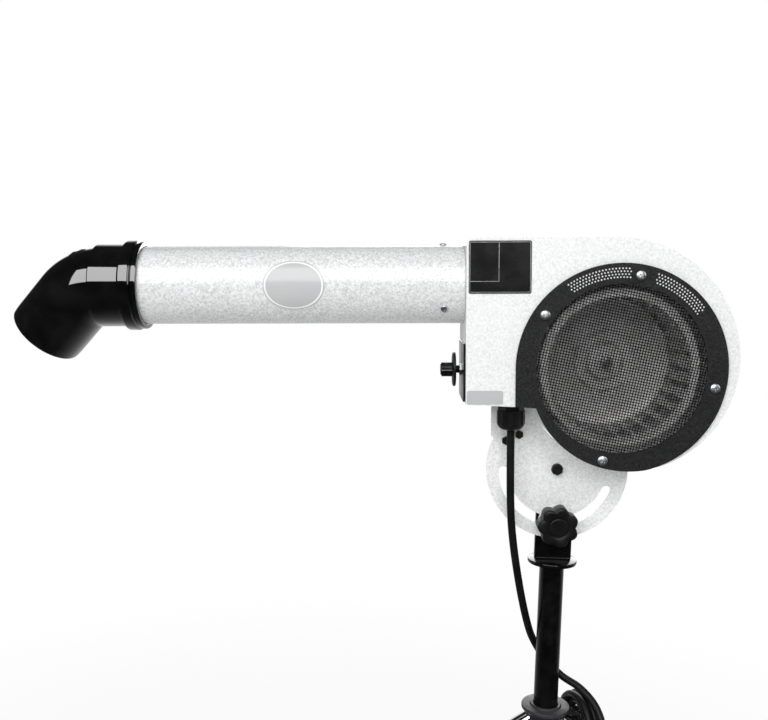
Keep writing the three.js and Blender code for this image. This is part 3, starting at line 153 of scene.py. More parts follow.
def lathe(profile, axis="z", segments=96, ring=False):
    """A turned form. Each profile point is (radius, place along the axis)."""
    points = list(profile) + ([profile[0]] if ring else [])
    verts, rows = [], []
    for r, s in points:
        if r < 1e-6:
            rows.append([len(verts)] * segments)
            verts.append((0, 0, s))
            continue
        rows.append(list(range(len(verts), len(verts) + segments)))
        for k in range(segments):
            a = 2 * math.pi * k / segments
            verts.append((r * math.cos(a), r * math.sin(a), s))
    faces = []
    for low, high in zip(rows, rows[1:]):
        for k in range(segments):
            m = (k + 1) % segments
            face = []
            for v in (low[k], low[m], high[m], high[k]):
                if v not in face:
                    face.append(v)
            if len(face) > 2:
                faces.append(tuple(face))
    if axis == "x":
        verts = [(z, x, y) for x, y, z in verts]
    if axis == "y":
        verts = [(y, z, x) for x, y, z in verts]
    return verts, faces


def rod(r, s0, s1, axis="y", segments=40):
    """A solid round bar from s0 to s1 along the axis."""
    return lathe([(0, s0), (r, s0), (r, s1), (0, s1)], axis, segments)


def pipe(inner, outer, s0, s1, axis, segments):
    """A round wall from s0 to s1 along the axis."""
    return lathe([(inner, s0), (outer, s0), (outer, s1), (inner, s1)], axis, segments, True)


def tube(stations, radius, sides=24, capped=True, radii=None):
    """A round section carried along points without twisting."""
    points = [Vector(p) for p in stations]
    tangents = []
    for i, p in enumerate(points):
        a = points[max(i - 1, 0)]
        b = points[min(i + 1, len(points) - 1)]
        tangents.append((b - a).normalized())
    side = tangents[0].orthogonal().normalized()
    verts, faces = [], []
    for i, p in enumerate(points):
        if i:
            turn = tangents[i - 1].rotation_difference(tangents[i])
            side = (turn @ side).normalized()
        other = tangents[i].cross(side)
        r = radii[i] if radii else radius
        for k in range(sides):
            a = 2 * math.pi * k / sides
            verts.append(p + side * (r * math.cos(a)) + other * (r * math.sin(a)))
    for i in range(len(points) - 1):
        faces += ring_quads(i * sides, (i + 1) * sides, sides)
    if capped:
        faces.append(tuple(reversed(range(sides))))
        faces.append(tuple(range((len(points) - 1) * sides, len(points) * sides)))
    return verts, faces


def flat(outlines, y0, y1):
    """Outlines in X and Z, filled between them and given a thickness along Y."""
    curve = bpy.data.curves.new("outline", "CURVE")
    curve.dimensions = "2D"
    curve.fill_mode = "BOTH"
    curve.extrude = abs(y1 - y0) / 2
    for points in outlines:
        spline = curve.splines.new("POLY")
        spline.points.add(len(points) - 1)
        for point, (x, z) in zip(spline.points, points):
            point.co = (x, z, 0, 1)
        spline.use_cyclic_u = True
    holder = bpy.data.objects.new("outline", curve)
    bpy.context.scene.collection.objects.link(holder)
    bpy.context.view_layer.update()
    mesh = bpy.data.meshes.new_from_object(holder.evaluated_get(bpy.context.evaluated_depsgraph_get()))
    middle = (y0 + y1) / 2
    verts = [(v.co.x, middle - v.co.z, v.co.y) for v in mesh.vertices]
    faces = [tuple(p.vertices) for p in mesh.polygons]
    bpy.data.objects.remove(holder)
    bpy.data.curves.remove(curve)
    bpy.data.meshes.remove(mesh)
    return verts, faces


def cuboid(x0, x1, y0, y1, z0, z1):
    verts = [(x, y, z) for x in (x0, x1) for y in (y0, y1) for z in (z0, z1)]
    faces = [(0, 1, 3, 2), (4, 6, 7, 5), (0, 4, 5, 1), (2, 3, 7, 6), (0, 2, 6, 4), (1, 5, 7, 3)]
    return verts, faces


def moved(form, matrix):
    verts, faces = form
    return [matrix @ Vector(v) for v in verts], faces


def together(*forms):
    verts, faces = [], []
    for some_verts, some_faces in forms:
        base = len(verts)
        verts.extend(some_verts)
        faces.extend(tuple(base + v for v in face) for face in some_faces)
    return verts, faces


def circle(x, z, r, count=64):
    return [(x + r * math.cos(2 * math.pi * k / count), z + r * math.sin(2 * math.pi * k / count))
            for k in range(count)]


def mesh_object(name, form, matrix):
    verts, faces = form
    mesh = bpy.data.meshes.new(name)
    mesh.from_pydata([matrix @ Vector(v) for v in verts], [], faces)
    shape = bmesh.new()
    shape.from_mesh(mesh)
    bmesh.ops.remove_doubles(shape, verts=shape.verts, dist=1e-7)
    bmesh.ops.recalc_face_normals(shape, faces=shape.faces)
    shape.to_mesh(mesh)
    shape.free()
    obj = bpy.data.objects.new(name, mesh)
    bpy.context.scene.collection.objects.link(obj)
    return obj


def smooth(obj, angle=32):
    obj.data.polygons.foreach_set("use_smooth", [True] * len(obj.data.polygons))
    obj.data.set_sharp_from_angle(angle=math.radians(angle))


def piece(name, form, matrix, body, surface, node=None, bevel=0.0, angle=32, cut=()):
    """A finished piece: its form, broken edges and surface, its body and the node it stands for."""
    obj = mesh_object(name, form, matrix)
    for i, tool in enumerate(cut):
        cutter = mesh_object(f"{name}_tool_{i}", tool, matrix)
        modifier = obj.modifiers.new("cut", "BOOLEAN")
        modifier.object = cutter
        modifier.solver = "EXACT"
        bpy.context.view_layer.update()
        result = bpy.data.meshes.new_from_object(obj.evaluated_get(bpy.context.evaluated_depsgraph_get()))
        obj.modifiers.clear()
        obj.data = result
        bpy.data.objects.remove(cutter)
    smooth(obj, angle)
    if bevel:
        modifier = obj.modifiers.new("edges", "BEVEL")
        modifier.width = bevel / 1000
        modifier.segments = 2
        modifier.limit_method = "ANGLE"
        modifier.angle_limit = math.radians(40)
        modifier.harden_normals = True
    obj.data.materials.clear()
    obj.data.materials.append(surface.material)
    if node:
        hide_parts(node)
    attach(obj, body)
    return obj


# ---------------------------------------------------------------------------
# Surfaces
# ---------------------------------------------------------------------------


def maths(tree, operation, a, b):
    node = tree.nodes.new("ShaderNodeMath")
    node.operation = operation
    for socket, value in zip(node.inputs, (a, b)):
        if isinstance(value, (int, float)):
            socket.default_value = value
        else:
            tree.links.new(value, socket)
    return node.outputs["Value"]


class Surface:
    """A Principled material with its nodes built by small calls."""

    def __init__(self, name, slot, colour, roughness, metallic=0.0, **sockets):
        self.slot = slot
        self.material = bpy.data.materials.new(name)
        self.material.use_nodes = True
        self.tree = self.material.node_tree
        self.shader = self.tree.nodes["Principled BSDF"]
        self.shader.inputs["Base Color"].default_value = (*colour, 1)
        self.shader.inputs["Roughness"].default_value = roughness
        self.shader.inputs["Metallic"].default_value = metallic
        for key, value in sockets.items():
            self.shader.inputs[key.replace("_", " ")].default_value = value
        self.place = self.tree.nodes.new("ShaderNodeTexCoord").outputs["Object"]

    def link(self, a, b):
        self.tree.links.new(a, b)

    def stretched(self, scale):
        node = self.tree.nodes.new("ShaderNodeMapping")
        node.inputs["Scale"].default_value = scale
        self.link(self.place, node.inputs["Vector"])
        return node.outputs["Vector"]

    def noise(self, scale, detail=3.0, roughness=0.55, distortion=0.0, place=None):
        node = self.tree.nodes.new("ShaderNodeTexNoise")
        node.inputs["Scale"].default_value = scale
        node.inputs["Detail"].default_value = detail
        node.inputs["Roughness"].default_value = roughness
        node.inputs["Distortion"].default_value = distortion
        self.link(place or self.place, node.inputs["Vector"])
        return node.outputs["Fac"]

    def cells(self, scale, feature):
        node = self.tree.nodes.new("ShaderNodeTexVoronoi")
        node.feature = feature
        node.inputs["Scale"].default_value = scale
        self.link(self.place, node.inputs["Vector"])
        return node.outputs["Distance"]

    def ramp(self, value, stops):
        node = self.tree.nodes.new("ShaderNodeValToRGB")
        elements = node.color_ramp.elements
        while len(elements) < len(stops):
            elements.new(0.5)
        for element, (position, level) in zip(elements, stops):
            element.position = position
            element.color = (*level, 1) if hasattr(level, "__len__") else (level, level, level, 1)
        self.link(value, node.inputs["Fac"])
        return node.outputs["Color"]

    def maths(self, operation, a, b):
        return maths(self.tree, operation, a, b)

    def bump(self, height, strength, distance):
        node = self.tree.nodes.new("ShaderNodeBump")
        node.inputs["Strength"].default_value = strength
        node.inputs["Distance"].default_value = distance
        self.link(height, node.inputs["Height"])
        return node.outputs["Normal"]

    def to(self, socket, value):
        self.link(value, self.shader.inputs[socket])


def hammertone(name, slot, low, high, bump, coat):
    """Hammered enamel: pale cells a few millimetres across, with greyer veins between them."""
    s = Surface(name, slot, high, 0.40, Coat_Weight=coat, Coat_Roughness=0.22)
    warped = s.noise(330, 1.6, 0.5, 0.9)
    cells = s.cells(420, "SMOOTH_F1")
    veins = s.maths("ADD", s.maths("MULTIPLY", warped, 0.8), s.maths("MULTIPLY", cells, 0.35))
    middle = tuple((a + b) / 2 for a, b in zip(low, high))
    s.to("Base Color", s.ramp(veins, [(0.44, high), (0.57, middle), (0.72, low)]))
    s.to("Roughness", s.ramp(s.noise(420, 2), [(0.3, 0.34), (0.7, 0.46)]))
    s.to("Normal", s.bump(veins, bump, 0.0003))
    return s


def wrinkle(name, slot, colour, pale):
    """Wrinkle paint: a tight raised crackle, with a dull shine on its crests from a lower roughness and a
    painted highlight from a paler colour there.
    """
    s = Surface(name, slot, colour, 0.5, Specular_IOR_Level=0.32)
    crackle = s.noise(520, 3, 0.7, 1.4)
    # Painted highlight: the colour turns paler on the raised crests of the crackle.
    s.to("Base Color", s.ramp(crackle, [(0.42, colour), (0.68, pale)]))
    s.to("Roughness", s.ramp(crackle, [(0.35, 0.62), (0.7, 0.38)]))
    s.to("Normal", s.bump(crackle, 0.9, 0.0008))
    return s


def moulded(name, slot, colour, roughness, grain=900, bump=0.12, **sockets):
    """Moulded plastic or rubber with a faint grain and a little unevenness in its shine."""
    s = Surface(name, slot, colour, roughness, **sockets)
    fine = s.noise(grain, 3, 0.6)
    broad = s.noise(38, 2, 0.5)
    pale = tuple(min(1.0, c * 1.5 + 0.004) for c in colour)
    s.to("Base Color", s.ramp(s.maths("MULTIPLY", fine, broad), [(0.15, colour), (0.42, pale)]))
    s.to("Roughness", s.ramp(broad, [(0.3, roughness * 0.85), (0.7, min(1.0, roughness * 1.2))]))
    s.to("Normal", s.bump(fine, bump, 0.00025))
    return s


def printed(name, slot, colour, roughness=0.34):
    """A printed or anodised foil: one even tone with a very fine grain."""
    s = Surface(name, slot, colour, roughness)
    grain = s.noise(1500, 2, 0.6)
    s.to("Base Color", s.ramp(grain, [(0.3, tuple(c * 0.96 for c in colour)), (0.7, colour)]))
    s.to("Roughness", s.ramp(grain, [(0.3, roughness * 0.9), (0.7, roughness * 1.1)]))
    return s


def metal(name, slot, colour, roughness, scale=(30, 30, 900), bump=0.03, mottled=0.12):
    """Bare or plated metal with fine lines one way and a light mottle."""
    s = Surface(name, slot, colour, roughness, metallic=1.0)
    lines = s.noise(1.0, 3, 0.6, 0.0, s.stretched(scale))
    mottle = s.noise(120, 3, 0.6)
    dark = tuple(c * (1 - mottled) for c in colour)
    s.to("Base Color", s.ramp(mottle, [(0.3, dark), (0.65, colour)]))
    s.to("Roughness", s.ramp(lines, [(0.25, roughness * 0.75), (0.75, roughness * 1.35)]))
    s.to("Normal", s.bump(lines, bump, 0.0001))
    return s


WHITE = hammertone("white_hammertone", "white_paint", (0.72, 0.725, 0.73), (0.87, 0.872, 0.875), 0.12, 0.2)
# Painted shade: the tube's copy of the white paint is made darker than the housing's, standing in for the
# lesser light it takes.
TUBE_SHADED_WHITE = hammertone("tube_hammertone_shaded", "white_paint", (0.56, 0.565, 0.57), (0.83, 0.835, 0.84), 0.17, 0.9)
SILVER = hammertone("silver_hammertone", "hammertone", (0.71, 0.72, 0.72), (0.91, 0.915, 0.91), 0.20, 0.3)
WRINKLE = wrinkle("wrinkle_black", "wrinkle_black", (0.003, 0.003, 0.0033), (0.034, 0.035, 0.036))
GLOSS = moulded(
    "gloss_black", "gloss_black", (0.0012, 0.0012, 0.0014), 0.055, 40, 0.004, Specular_IOR_Level=1.0,
    Coat_Weight=1.0)
PAINT = moulded(
    "black_enamel", "black_paint", (0.002, 0.002, 0.0022), 0.16, 150, 0.03, Specular_IOR_Level=0.4)
PLASTIC = moulded(
    "black_plastic", "black_plastic", (0.005, 0.005, 0.0055), 0.38, 1300, 0.25, Specular_IOR_Level=0.3)
RUBBER = moulded("cord_rubber", "rubber", (0.004, 0.004, 0.0045), 0.45, 700, 0.08, Specular_IOR_Level=0.25)
FOOT = moulded("foot_rubber", "rubber", (0.020, 0.020, 0.020), 0.68, 900, 0.22)
NYLON = moulded("bush_nylon", "nylon", (0.026, 0.026, 0.028), 0.45, 1100, 0.15)
MICA = moulded("mica_board", "mica", (0.52, 0.42, 0.27), 0.55, 300, 0.2)
ZINC = metal("bright_zinc", "zinc", (0.84, 0.86, 0.87), 0.36, (400, 400, 400), 0.05, 0.15)
DARK_ZINC = metal("dull_zinc", "zinc", (0.060, 0.062, 0.050), 0.46, (400, 400, 400), 0.08, 0.35)
STEEL = metal("duct_steel", "plain_steel", (0.58, 0.59, 0.60), 0.34)
WHEEL = moulded("wheel_zinc", "wheel_steel", (0.80, 0.80, 0.78), 0.42, 300, 0.04, Metallic=0.2)
WIRE = moulded("guard_wire", "grey_wire", (0.004, 0.004, 0.004), 0.5, 900, 0.05, Specular_IOR_Level=0.2)
CHROME = metal("chrome", "chrome", (0.86, 0.87, 0.88), 0.07, (200, 200, 200), 0.001, 0.03)
CAST = moulded("motor_casting", "motor_grey", (0.16, 0.17, 0.18), 0.5, 500, 0.45, Metallic=0.2)
GREY = metal("plate_grey", "plate_grey", (0.62, 0.63, 0.64), 0.36, (20, 20, 1200), 0.03, 0.05)
PLATE_BLACK = moulded(
    "plate_black", "black_plastic", (0.004, 0.004, 0.0045), 0.26, 500, 0.05, Specular_IOR_Level=0.4)
LABEL_GREY = printed("label_grey", "plate_grey", (0.49, 0.495, 0.50))
BADGE_GREY = printed("badge_grey", "plate_grey", (0.52, 0.525, 0.53), 0.2)
BADGE_WHITE = printed("badge_white", "white_paint", (0.86, 0.865, 0.87))
COIL = metal("heater_wire", "heater_wire", (0.30, 0.26, 0.23), 0.45, (500, 500, 500), 0.05, 0.3)

# ---------------------------------------------------------------------------
# Mains cord: three free stretches, the hank over the height knob, and the plug
# ---------------------------------------------------------------------------

lock_out = Vector((math.cos(LOCK_AZIMUTH), math.sin(LOCK_AZIMUTH), 0))
lock_side = Vector((-lock_out.y, lock_out.x, 0))
lock_knob_at = LOCK_SEAT + 0.5
HANK_RUN, HANK_IN, HANK_PITCH, HANK_LAYER = 150.0, 27.6, CORD_D + 1.3, CORD_D + 1.1
hank_outer = lock_knob_at + 14.4
hank_inner = hank_outer - HANK_LAYER
TAIL_L = 30.0


def hank_point(s, u, z):
    return Vector((0, 0, z)) + lock_out * s + lock_side * u


def wind_half(side, r_start, r_fold, r_end, s0, s1, runs=12, folds=20):
    """One straight run at s0 and one fold that ends at s1, as the part winds it."""
    low = LOCK_Z - HANK_RUN
    start, stop = (LOCK_Z, low) if side < 0 else (low, LOCK_Z)
    points = []
    for i in range(runs):
        t = i / runs
        points.append(hank_point(s0, side * (r_start + (r_fold - r_start) * t), start + (stop - start) * t))
    for i in range(folds):
        t = i / folds
        r = r_fold + (r_end - r_fold) * t
        a = math.pi * t
        points.append(hank_point(s0 + (s1 - s0) * t, side * r * math.cos(a), stop + side * r * math.sin(a)))
    return points


step = HANK_PITCH / 4
turn_r = HANK_IN + 7 * step
side = -1
hank_line = []
for k in range(3):
    hank_line += wind_half(side, turn_r, turn_r - step, turn_r - 2 * step, hank_outer, hank_outer)
    turn_r -= 2 * step
    side = -side
hank_line += wind_half(side, turn_r, turn_r - step, turn_r - step, hank_outer, hank_inner)
turn_r -= step
side = -side
for k in range(2):
    hank_line += wind_half(side, turn_r, turn_r + step, turn_r + 2 * step, hank_inner, hank_inner)
    turn_r += 2 * step
    side = -side
for i in range(12):
    t = i / 12
    hank_line.append(hank_point(hank_inner, side * (turn_r + step * t), LOCK_Z - HANK_RUN * t))
turn_r += step
for extra in (0.0, TAIL_L / 2, TAIL_L):
    hank_line.append(hank_point(hank_inner, side * turn_r, LOCK_Z - HANK_RUN - extra))
hank_first = hank_line[0].copy()
hank_line.insert(0, hank_first + Vector((0, 0, CORD_D)))
plug_at = hank_line[-1].copy()


def from_head(x, y, z):
    return (TO_ROW.inverted() @ HEAD) @ Vector((x, y, z))


def through(points, samples):
    """A smooth centripetal curve through points, as evenly spaced samples."""
    pts = [Vector(p) for p in points]
    pts = [pts[0] * 2 - pts[1]] + pts + [pts[-1] * 2 - pts[-2]]
    fine = []
    for i in range(1, len(pts) - 2):
        p0, p1, p2, p3 = pts[i - 1:i + 3]
        t = [0.0]
        for a, b in ((p0, p1), (p1, p2), (p2, p3)):
            t.append(t[-1] + max(1e-6, (b - a).length) ** 0.5)
        for k in range(24):
            u = t[1] + (t[2] - t[1]) * k / 24
            a1 = p0 * ((t[1] - u) / (t[1] - t[0])) + p1 * ((u - t[0]) / (t[1] - t[0]))
            a2 = p1 * ((t[2] - u) / (t[2] - t[1])) + p2 * ((u - t[1]) / (t[2] - t[1]))
            a3 = p2 * ((t[3] - u) / (t[3] - t[2])) + p3 * ((u - t[2]) / (t[3] - t[2]))
            b1 = a1 * ((t[2] - u) / (t[2] - t[0])) + a2 * ((u - t[0]) / (t[2] - t[0]))
            b2 = a2 * ((t[3] - u) / (t[3] - t[1])) + a3 * ((u - t[1]) / (t[3] - t[1]))
            fine.append(b1 * ((t[2] - u) / (t[2] - t[1])) + b2 * ((u - t[1]) / (t[2] - t[1])))
    fine.append(pts[-2].copy())
    lengths = [0.0]
    for a, b in zip(fine, fine[1:]):
        lengths.append(lengths[-1] + (b - a).length)
    out, j = [], 0
    for i in range(samples + 1):
        want = lengths[-1] * i / samples
        while j < len(fine) - 2 and lengths[j + 1] < want:
            j += 1
        span = max(1e-9, lengths[j + 1] - lengths[j])
        out.append(fine[j].lerp(fine[j + 1], (want - lengths[j]) / span))
    return out


hank_mouth = hank_first + Vector((0, 0, CORD_D + GAP))
cord_route = through([
    from_head(GLAND_X, GLAND_Y, GLAND_END - GAP),
    from_head(GLAND_X, GLAND_Y, GLAND_END - GAP - CORD_D),
    (-60, -30, PIVOT_Z - 63), (-48, -20, PIVOT_Z - 136), (-30, 0, PIVOT_Z - 208),
    (-17, 19, PIVOT_Z - 242), (2, 28, PIVOT_Z - 272), (24, 23, PIVOT_Z - 293),
    (47, 8, PIVOT_Z - 303), (64, -10, PIVOT_Z - 318), hank_mouth + Vector((0, 0, CORD_D)), hank_mouth,
], 120)


def cord_piece(name, points, body, node=None, ends=None):
    obj = mesh_object(name, tube(points, CORD_D / 2, 20), TO_ROW)
    smooth(obj, 60)
    obj.data.materials.append(RUBBER.material)
    if node:
        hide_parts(node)
    if ends:
        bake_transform(obj)
    else:
        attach(obj, body)


plug_profile = [
    (0, 0), (5.6, 0), (7, -1.2), (7.4, -6), (9.2, -17), (13, -23), (16.4, -27), (17.7, -31), (18, -39),
    (17.2, -43), (16, -44), (0, -44)]
plug_ribs = []
for k in range(4):
    top = -3.2 - 4 * k
    plug_ribs.append(lathe([(6.0, top), (8.1, top - 0.4), (8.1, top - 1.7), (6.0, top - 2.1)], "z", 40, True))
PLUG = TO_ROW @ shift(plug_at.x, plug_at.y, plug_at.z - GAP)
plug = piece(
    "plug_shell", together(lathe(plug_profile, "z", 64), *plug_ribs), PLUG, "stand", PLASTIC, "plug",
    bevel=0.3)
pin_forms = []
for u, v in ((-7, 0), (0, 4), (7, 0)):
    pin = lathe([(0, -43), (2.3, -43), (2.3, -62), (1.6, -63), (0, -63)], "z", 32)
    pin_forms.append(moved(pin, shift(u, v, 0)))
pins = piece("plug_pins", together(*pin_forms), PLUG, "stand", ZINC, bevel=0.1)

cut_a, cut_b = 44, 98  # where the free cord is handed from body to body
upper, mid, lower = cord_route[:cut_a + 1], cord_route[cut_a:cut_b + 1], cord_route[cut_b:]
cord_piece("cord_upper", upper, ("head", "post"), "cord_free", (upper[3], upper[-3]))
cord_piece("cord_mid", mid, ("post", "swivel"), None, (mid[2], mid[-2]))
cord_piece(
    "cord_lower", lower, ("swivel", "stand"), None,
    (Vector((0, 0, lower[2].z)), Vector((0, 0, lower[-3].z))))
cord_piece("cord_hank_wound", hank_line, "stand", "cord_hank", None)

# ---------------------------------------------------------------------------
# Housing
# ---------------------------------------------------------------------------


def scroll_r(phi):
    return SCROLL_R + SCROLL_GROWTH * (phi - SCROLL_FROM)


def bottom_z(x):
    return BOX_BOTTOM + BOTTOM_SLOPE * (x - BOX_LEFT)


def around_fan(r, phi):
    a = math.radians(phi)
    return (FAN_X + r * math.cos(a), FAN_Z + r * math.sin(a))


def scroll_start(inset):
    low, high = 190.0, 225.0
    for _ in range(40):
        phi = (low + high) / 2
        x, z = around_fan(scroll_r(phi) - inset, phi)
        if z > bottom_z(x) + inset:
            low = phi
        else:
            high = phi
    return low


def housing(inset, steps=170):
    left = BOX_LEFT + inset
    start = scroll_start(inset)
    points = [(left, BOX_TOP - inset), (left, bottom_z(left) + inset)]
    for i in range(steps + 1):
        phi = start + (SCROLL_TO - start) * i / steps
        points.append(around_fan(scroll_r(phi) - inset, phi))
    return points


band = HALF - SHEET - GAP
piece("housing_front", flat([housing(0), circle(FAN_X, FAN_Z, INTAKE_R, 128)], -HALF, -HALF + SHEET), HEAD,
      "head", WHITE, "front_plate", bevel=0.6)
piece("housing_back", flat([housing(0), circle(FAN_X, FAN_Z, SHAFT_HOLE_R, 64)], HALF - SHEET, HALF), HEAD,
      "head", WHITE, "rear_plate", bevel=0.6)
band_cuts = [
    moved(rod(TUBE_R - TUBE_WALL, BOX_LEFT - 5, BOX_LEFT + 5, "x", 96), shift(0, 0, TUBE_Z)),
    moved(rod(SELECTOR_HOLE_R, BOX_LEFT - 5, BOX_LEFT + 5, "x", 40), shift(0, SELECTOR_Y, SELECTOR_Z)),
    moved(rod(GLAND_HOLE_R, 80, 100, "z", 48), shift(GLAND_X, GLAND_Y, 0)),
]
piece("housing_band", flat([housing(0), housing(SHEET)], -band, band), HEAD, "head", WHITE, "scroll_band",
      cut=band_cuts)

# ---------------------------------------------------------------------------
# Intake: ring with plain rows of small holes, woven guard, screws
# ---------------------------------------------------------------------------

ring_back = -HALF - GAP
ring_front = ring_back - RING_T
ring_outline = [around_fan(RING_R, RING_TO + (540 - RING_TO) * k / 128) for k in range(129)]
ring_left = FAN_X - RING_R
ring_outline.append((ring_left, bottom_z(ring_left) + 0.2))
for k in range(40):
    phi = SCROLL_FROM + (RING_TO - SCROLL_FROM) * k / 40
    ring_outline.append(around_fan(scroll_r(phi), phi))
ring_holes = [circle(FAN_X, FAN_Z, RING_HOLE_R, 160)]
pips = []
PIP_ARCS = ((86, 124), (37, 71))  # degrees
PIP_ROWS = (112.6, 116.2, 119.8, 123.4)
PIP_PITCH = 3.9
PIP_R, PIP_PAINT_R, PIP_SUNK = 1.05, 1.0, 0.35
for low, high in PIP_ARCS:
    for row, r in enumerate(PIP_ROWS):
        count = int(math.radians(high - low) * r / PIP_PITCH)
        for k in range(count):
            angle = low + (high - low) * (k + 0.5 * (row % 2)) / count
            ring_holes.append(circle(*around_fan(r, angle), PIP_R, 12))
            paint = circle(*around_fan(r, angle), PIP_PAINT_R, 12)
            pips.append(flat([paint], ring_front + PIP_SUNK, ring_back))
piece("ring_plate", flat([ring_outline, *ring_holes], ring_front, ring_back), HEAD, "head", WRINKLE,
      "intake_ring", bevel=0.35)
piece("ring_pips", together(*pips), HEAD, "head", WHITE)

GUARD_R, GUARD_PITCH, GUARD_WIRE, GUARD_TURN = 105.6, 3.38, 0.56, math.radians(12.2)


def guard_wires(across):
    """Wires of the woven guard, each passing over and under the ones it meets."""
    forms = []
    count = int(GUARD_R / GUARD_PITCH)
    for j in range(-count, count + 1):
        offset = j * GUARD_PITCH
        reach = math.sqrt(max(0.0, GUARD_R ** 2 - offset ** 2))
        n = int(reach / GUARD_PITCH)
        if n < 1:
            continue
        points = []
        for i in range(-n, n + 1):
            s = i * GUARD_PITCH
            lift = GUARD_WIRE if (i + j) % 2 else -GUARD_WIRE
            lift = lift if across else -lift
            dome = -1.1 * (1 - (s * s + offset * offset) / GUARD_R ** 2)
            y = dome + lift
            points.append((s, y, offset) if across else (offset, y, s))
        forms.append(tube(points, GUARD_WIRE, 6, True))
    return forms


guard = together(*guard_wires(True), *guard_wires(False))
guard = moved(guard, Matrix.Rotation(GUARD_TURN, 4, "Y"))
guard_rim = pipe(104.9, 112.4, -0.8, 0.0, "y", 128)
guard = moved(together(guard, guard_rim), shift(0, ring_back - 0.1, 0))
piece("guard_weave", guard, FAN, "head", WIRE, "intake_mesh", angle=70)


def pan_head(r, h, shank, length):
    """A domed pan head with a cross recess, its head on the +Y side of Y = 0."""
    profile = [(0, -length), (shank, -length), (shank, 0), (r * 0.96, 0), (r, h * 0.12), (r * 0.98, h * 0.35)]
    for k in range(1, 8):
        a = k / 7 * math.pi / 2
        profile.append((r * 0.98 * math.cos(a) if k < 7 else 0, h * 0.35 + h * 0.65 * math.sin(a)))
    return lathe(profile, "y", 40)


def cross_cut(r, h):
    arm, slot, floor = r * 0.52, r * 0.11, h * 0.45
    return [cuboid(-arm, arm, floor, h + 1, -slot, slot), cuboid(-slot, slot, floor, h + 1, -arm, arm)]


def screw(name, matrix, r, h, shank, length, body, node):
    piece(name, pan_head(r, h, shank, length), matrix, body, ZINC, node, cut=cross_cut(r, h), angle=40)


for i, angle in enumerate(RING_SCREWS):
    x, z = around_fan(RING_SCREW_R, angle)
    place = HEAD @ shift(x, ring_front - GAP, z)
    place = place @ spun(37 * i + 20, "Y") @ Matrix.Rotation(math.pi, 4, "X")
    screw(f"ring_pan_{i + 1}", place, 6.4, 3.4, 2.1, 9, "head", f"ring_screw_{i + 1}")

# ---------------------------------------------------------------------------
# Impeller and motor
# ---------------------------------------------------------------------------

WHEEL_R, WHEEL_IN_R, WHEEL_LIP, WHEEL_FRONT, WHEEL_BACK = 99.0, 86.0, 1.3, -50.5, 49.0
BLADES = 28


def strip(points, thickness):
    left, right_side = [], []
    for i, p in enumerate(points):
        a = Vector(points[max(i - 1, 0)])
        b = Vector(points[min(i + 1, len(points) - 1)])
        d = (b - a).normalized()
        n = Vector((-d.y, d.x)) * (thickness / 2)
        left.append(tuple(Vector(p) + n))
        right_side.append(tuple(Vector(p) - n))
    return left + right_side[::-1]


wheel = [
    lathe([(5.3, 30), (12.4, 30), (13, 30.6), (13, 33.4), (13.6, 34), (21.6, 34), (22.4, 34.8), (22.6, 45),
    (26.6, 45), (26.8, 38.8), (27.6, 38), (37.4, 38), (38.4, 39), (38.6, 47.5), (42.6, 47.5), (42.8, 43.6),
    (43.8, 43), (46, 43.4), (52, 46.8), (55, 47.5), (81.5, 47.5), (83.4, 46.4), (85.6, 40.6), (86.6, 40.6),
    (86.6, 47.5), (WHEEL_R, 47.5), (WHEEL_R, WHEEL_BACK), (5.3, WHEEL_BACK)], "y", 128, True),
    lathe([(88.4, WHEEL_FRONT + 4.5), (88.4, WHEEL_FRONT + 0.8), (89.2, WHEEL_FRONT), (90.6, WHEEL_FRONT),
    (91.4, WHEEL_FRONT + 0.8), (91.6, WHEEL_FRONT + 4.0), (95.2, WHEEL_FRONT + 4.0),
    (95.4, WHEEL_FRONT + 0.8), (96.2, WHEEL_FRONT), (WHEEL_R - 0.8, WHEEL_FRONT),
    (WHEEL_R, WHEEL_FRONT + 0.8), (WHEEL_R, WHEEL_FRONT + 7), (WHEEL_R - WHEEL_LIP, WHEEL_FRONT + 7),
    (WHEEL_R - WHEEL_LIP, WHEEL_FRONT + 5.5), (88.6, WHEEL_FRONT + 5.5)], "y", 128, True)]
for k in range(BLADES):
    turn = 360 * k / BLADES
    line = []
    for i in range(7):
        t = i / 6
        r = WHEEL_IN_R - 2 + (WHEEL_R - WHEEL_LIP - WHEEL_IN_R) * t
        a = math.radians(turn + 9 * t * t - 2 * t)
        line.append((r * math.cos(a), r * math.sin(a)))
    wheel.append(flat([strip(line, 1)], WHEEL_FRONT + 5, WHEEL_BACK - 1))
piece("fan_wheel", together(*wheel), FAN, "fan", WHEEL, "impeller")


def hexagon(flats, y0, y1):
    """A hexagon head along Y."""
    corner = flats / math.sqrt(3)
    return rod(corner, y0, y1, "y", 6)


piece("fan_nut", hexagon(17, 20.5, 29.7), FAN, "fan", ZINC, "impeller_nut", bevel=0.5, angle=20)
shaft_end = HALF + MOTOR_L - 12
piece("shaft", lathe([(0, 16), (4.2, 16), (5, 16.8), (5, shaft_end), (0, shaft_end)], "y", 48), FAN, "fan",
      STEEL, "motor_shaft")

motor_front = HALF + GAP
motor_back = HALF + MOTOR_L
motor_profile = [
    (0, motor_front), (70, motor_front), (70, motor_front + 4.5), (60.5, motor_front + 4.5),
    (58, motor_front + 7)]
for k in range(2):
    s = motor_front + 18 + 26 * k
    motor_profile += [
        (58, s - 1.2), (57.4, s), (55.4, s + 1.4), (55, s + 2.6), (55, s + 11.4), (55.4, s + 12.6),
        (57.4, s + 14), (58, s + 15.2)]
motor_profile += [
    (58, motor_back - 13), (57.2, motor_back - 9.5), (54.4, motor_back - 3.6), (50, motor_back - 0.9),
    (46, motor_back), (14, motor_back), (13, motor_back - 1), (0, motor_back - 1)]
vents = [moved(cuboid(22, 42, motor_back - 5, motor_back + 1, -3, 3), spun(60 * k, "Y")) for k in range(6)]
piece("motor_case", lathe(motor_profile, "y", 128), FAN, "head", CAST, "motor_body", bevel=0.5, cut=vents)
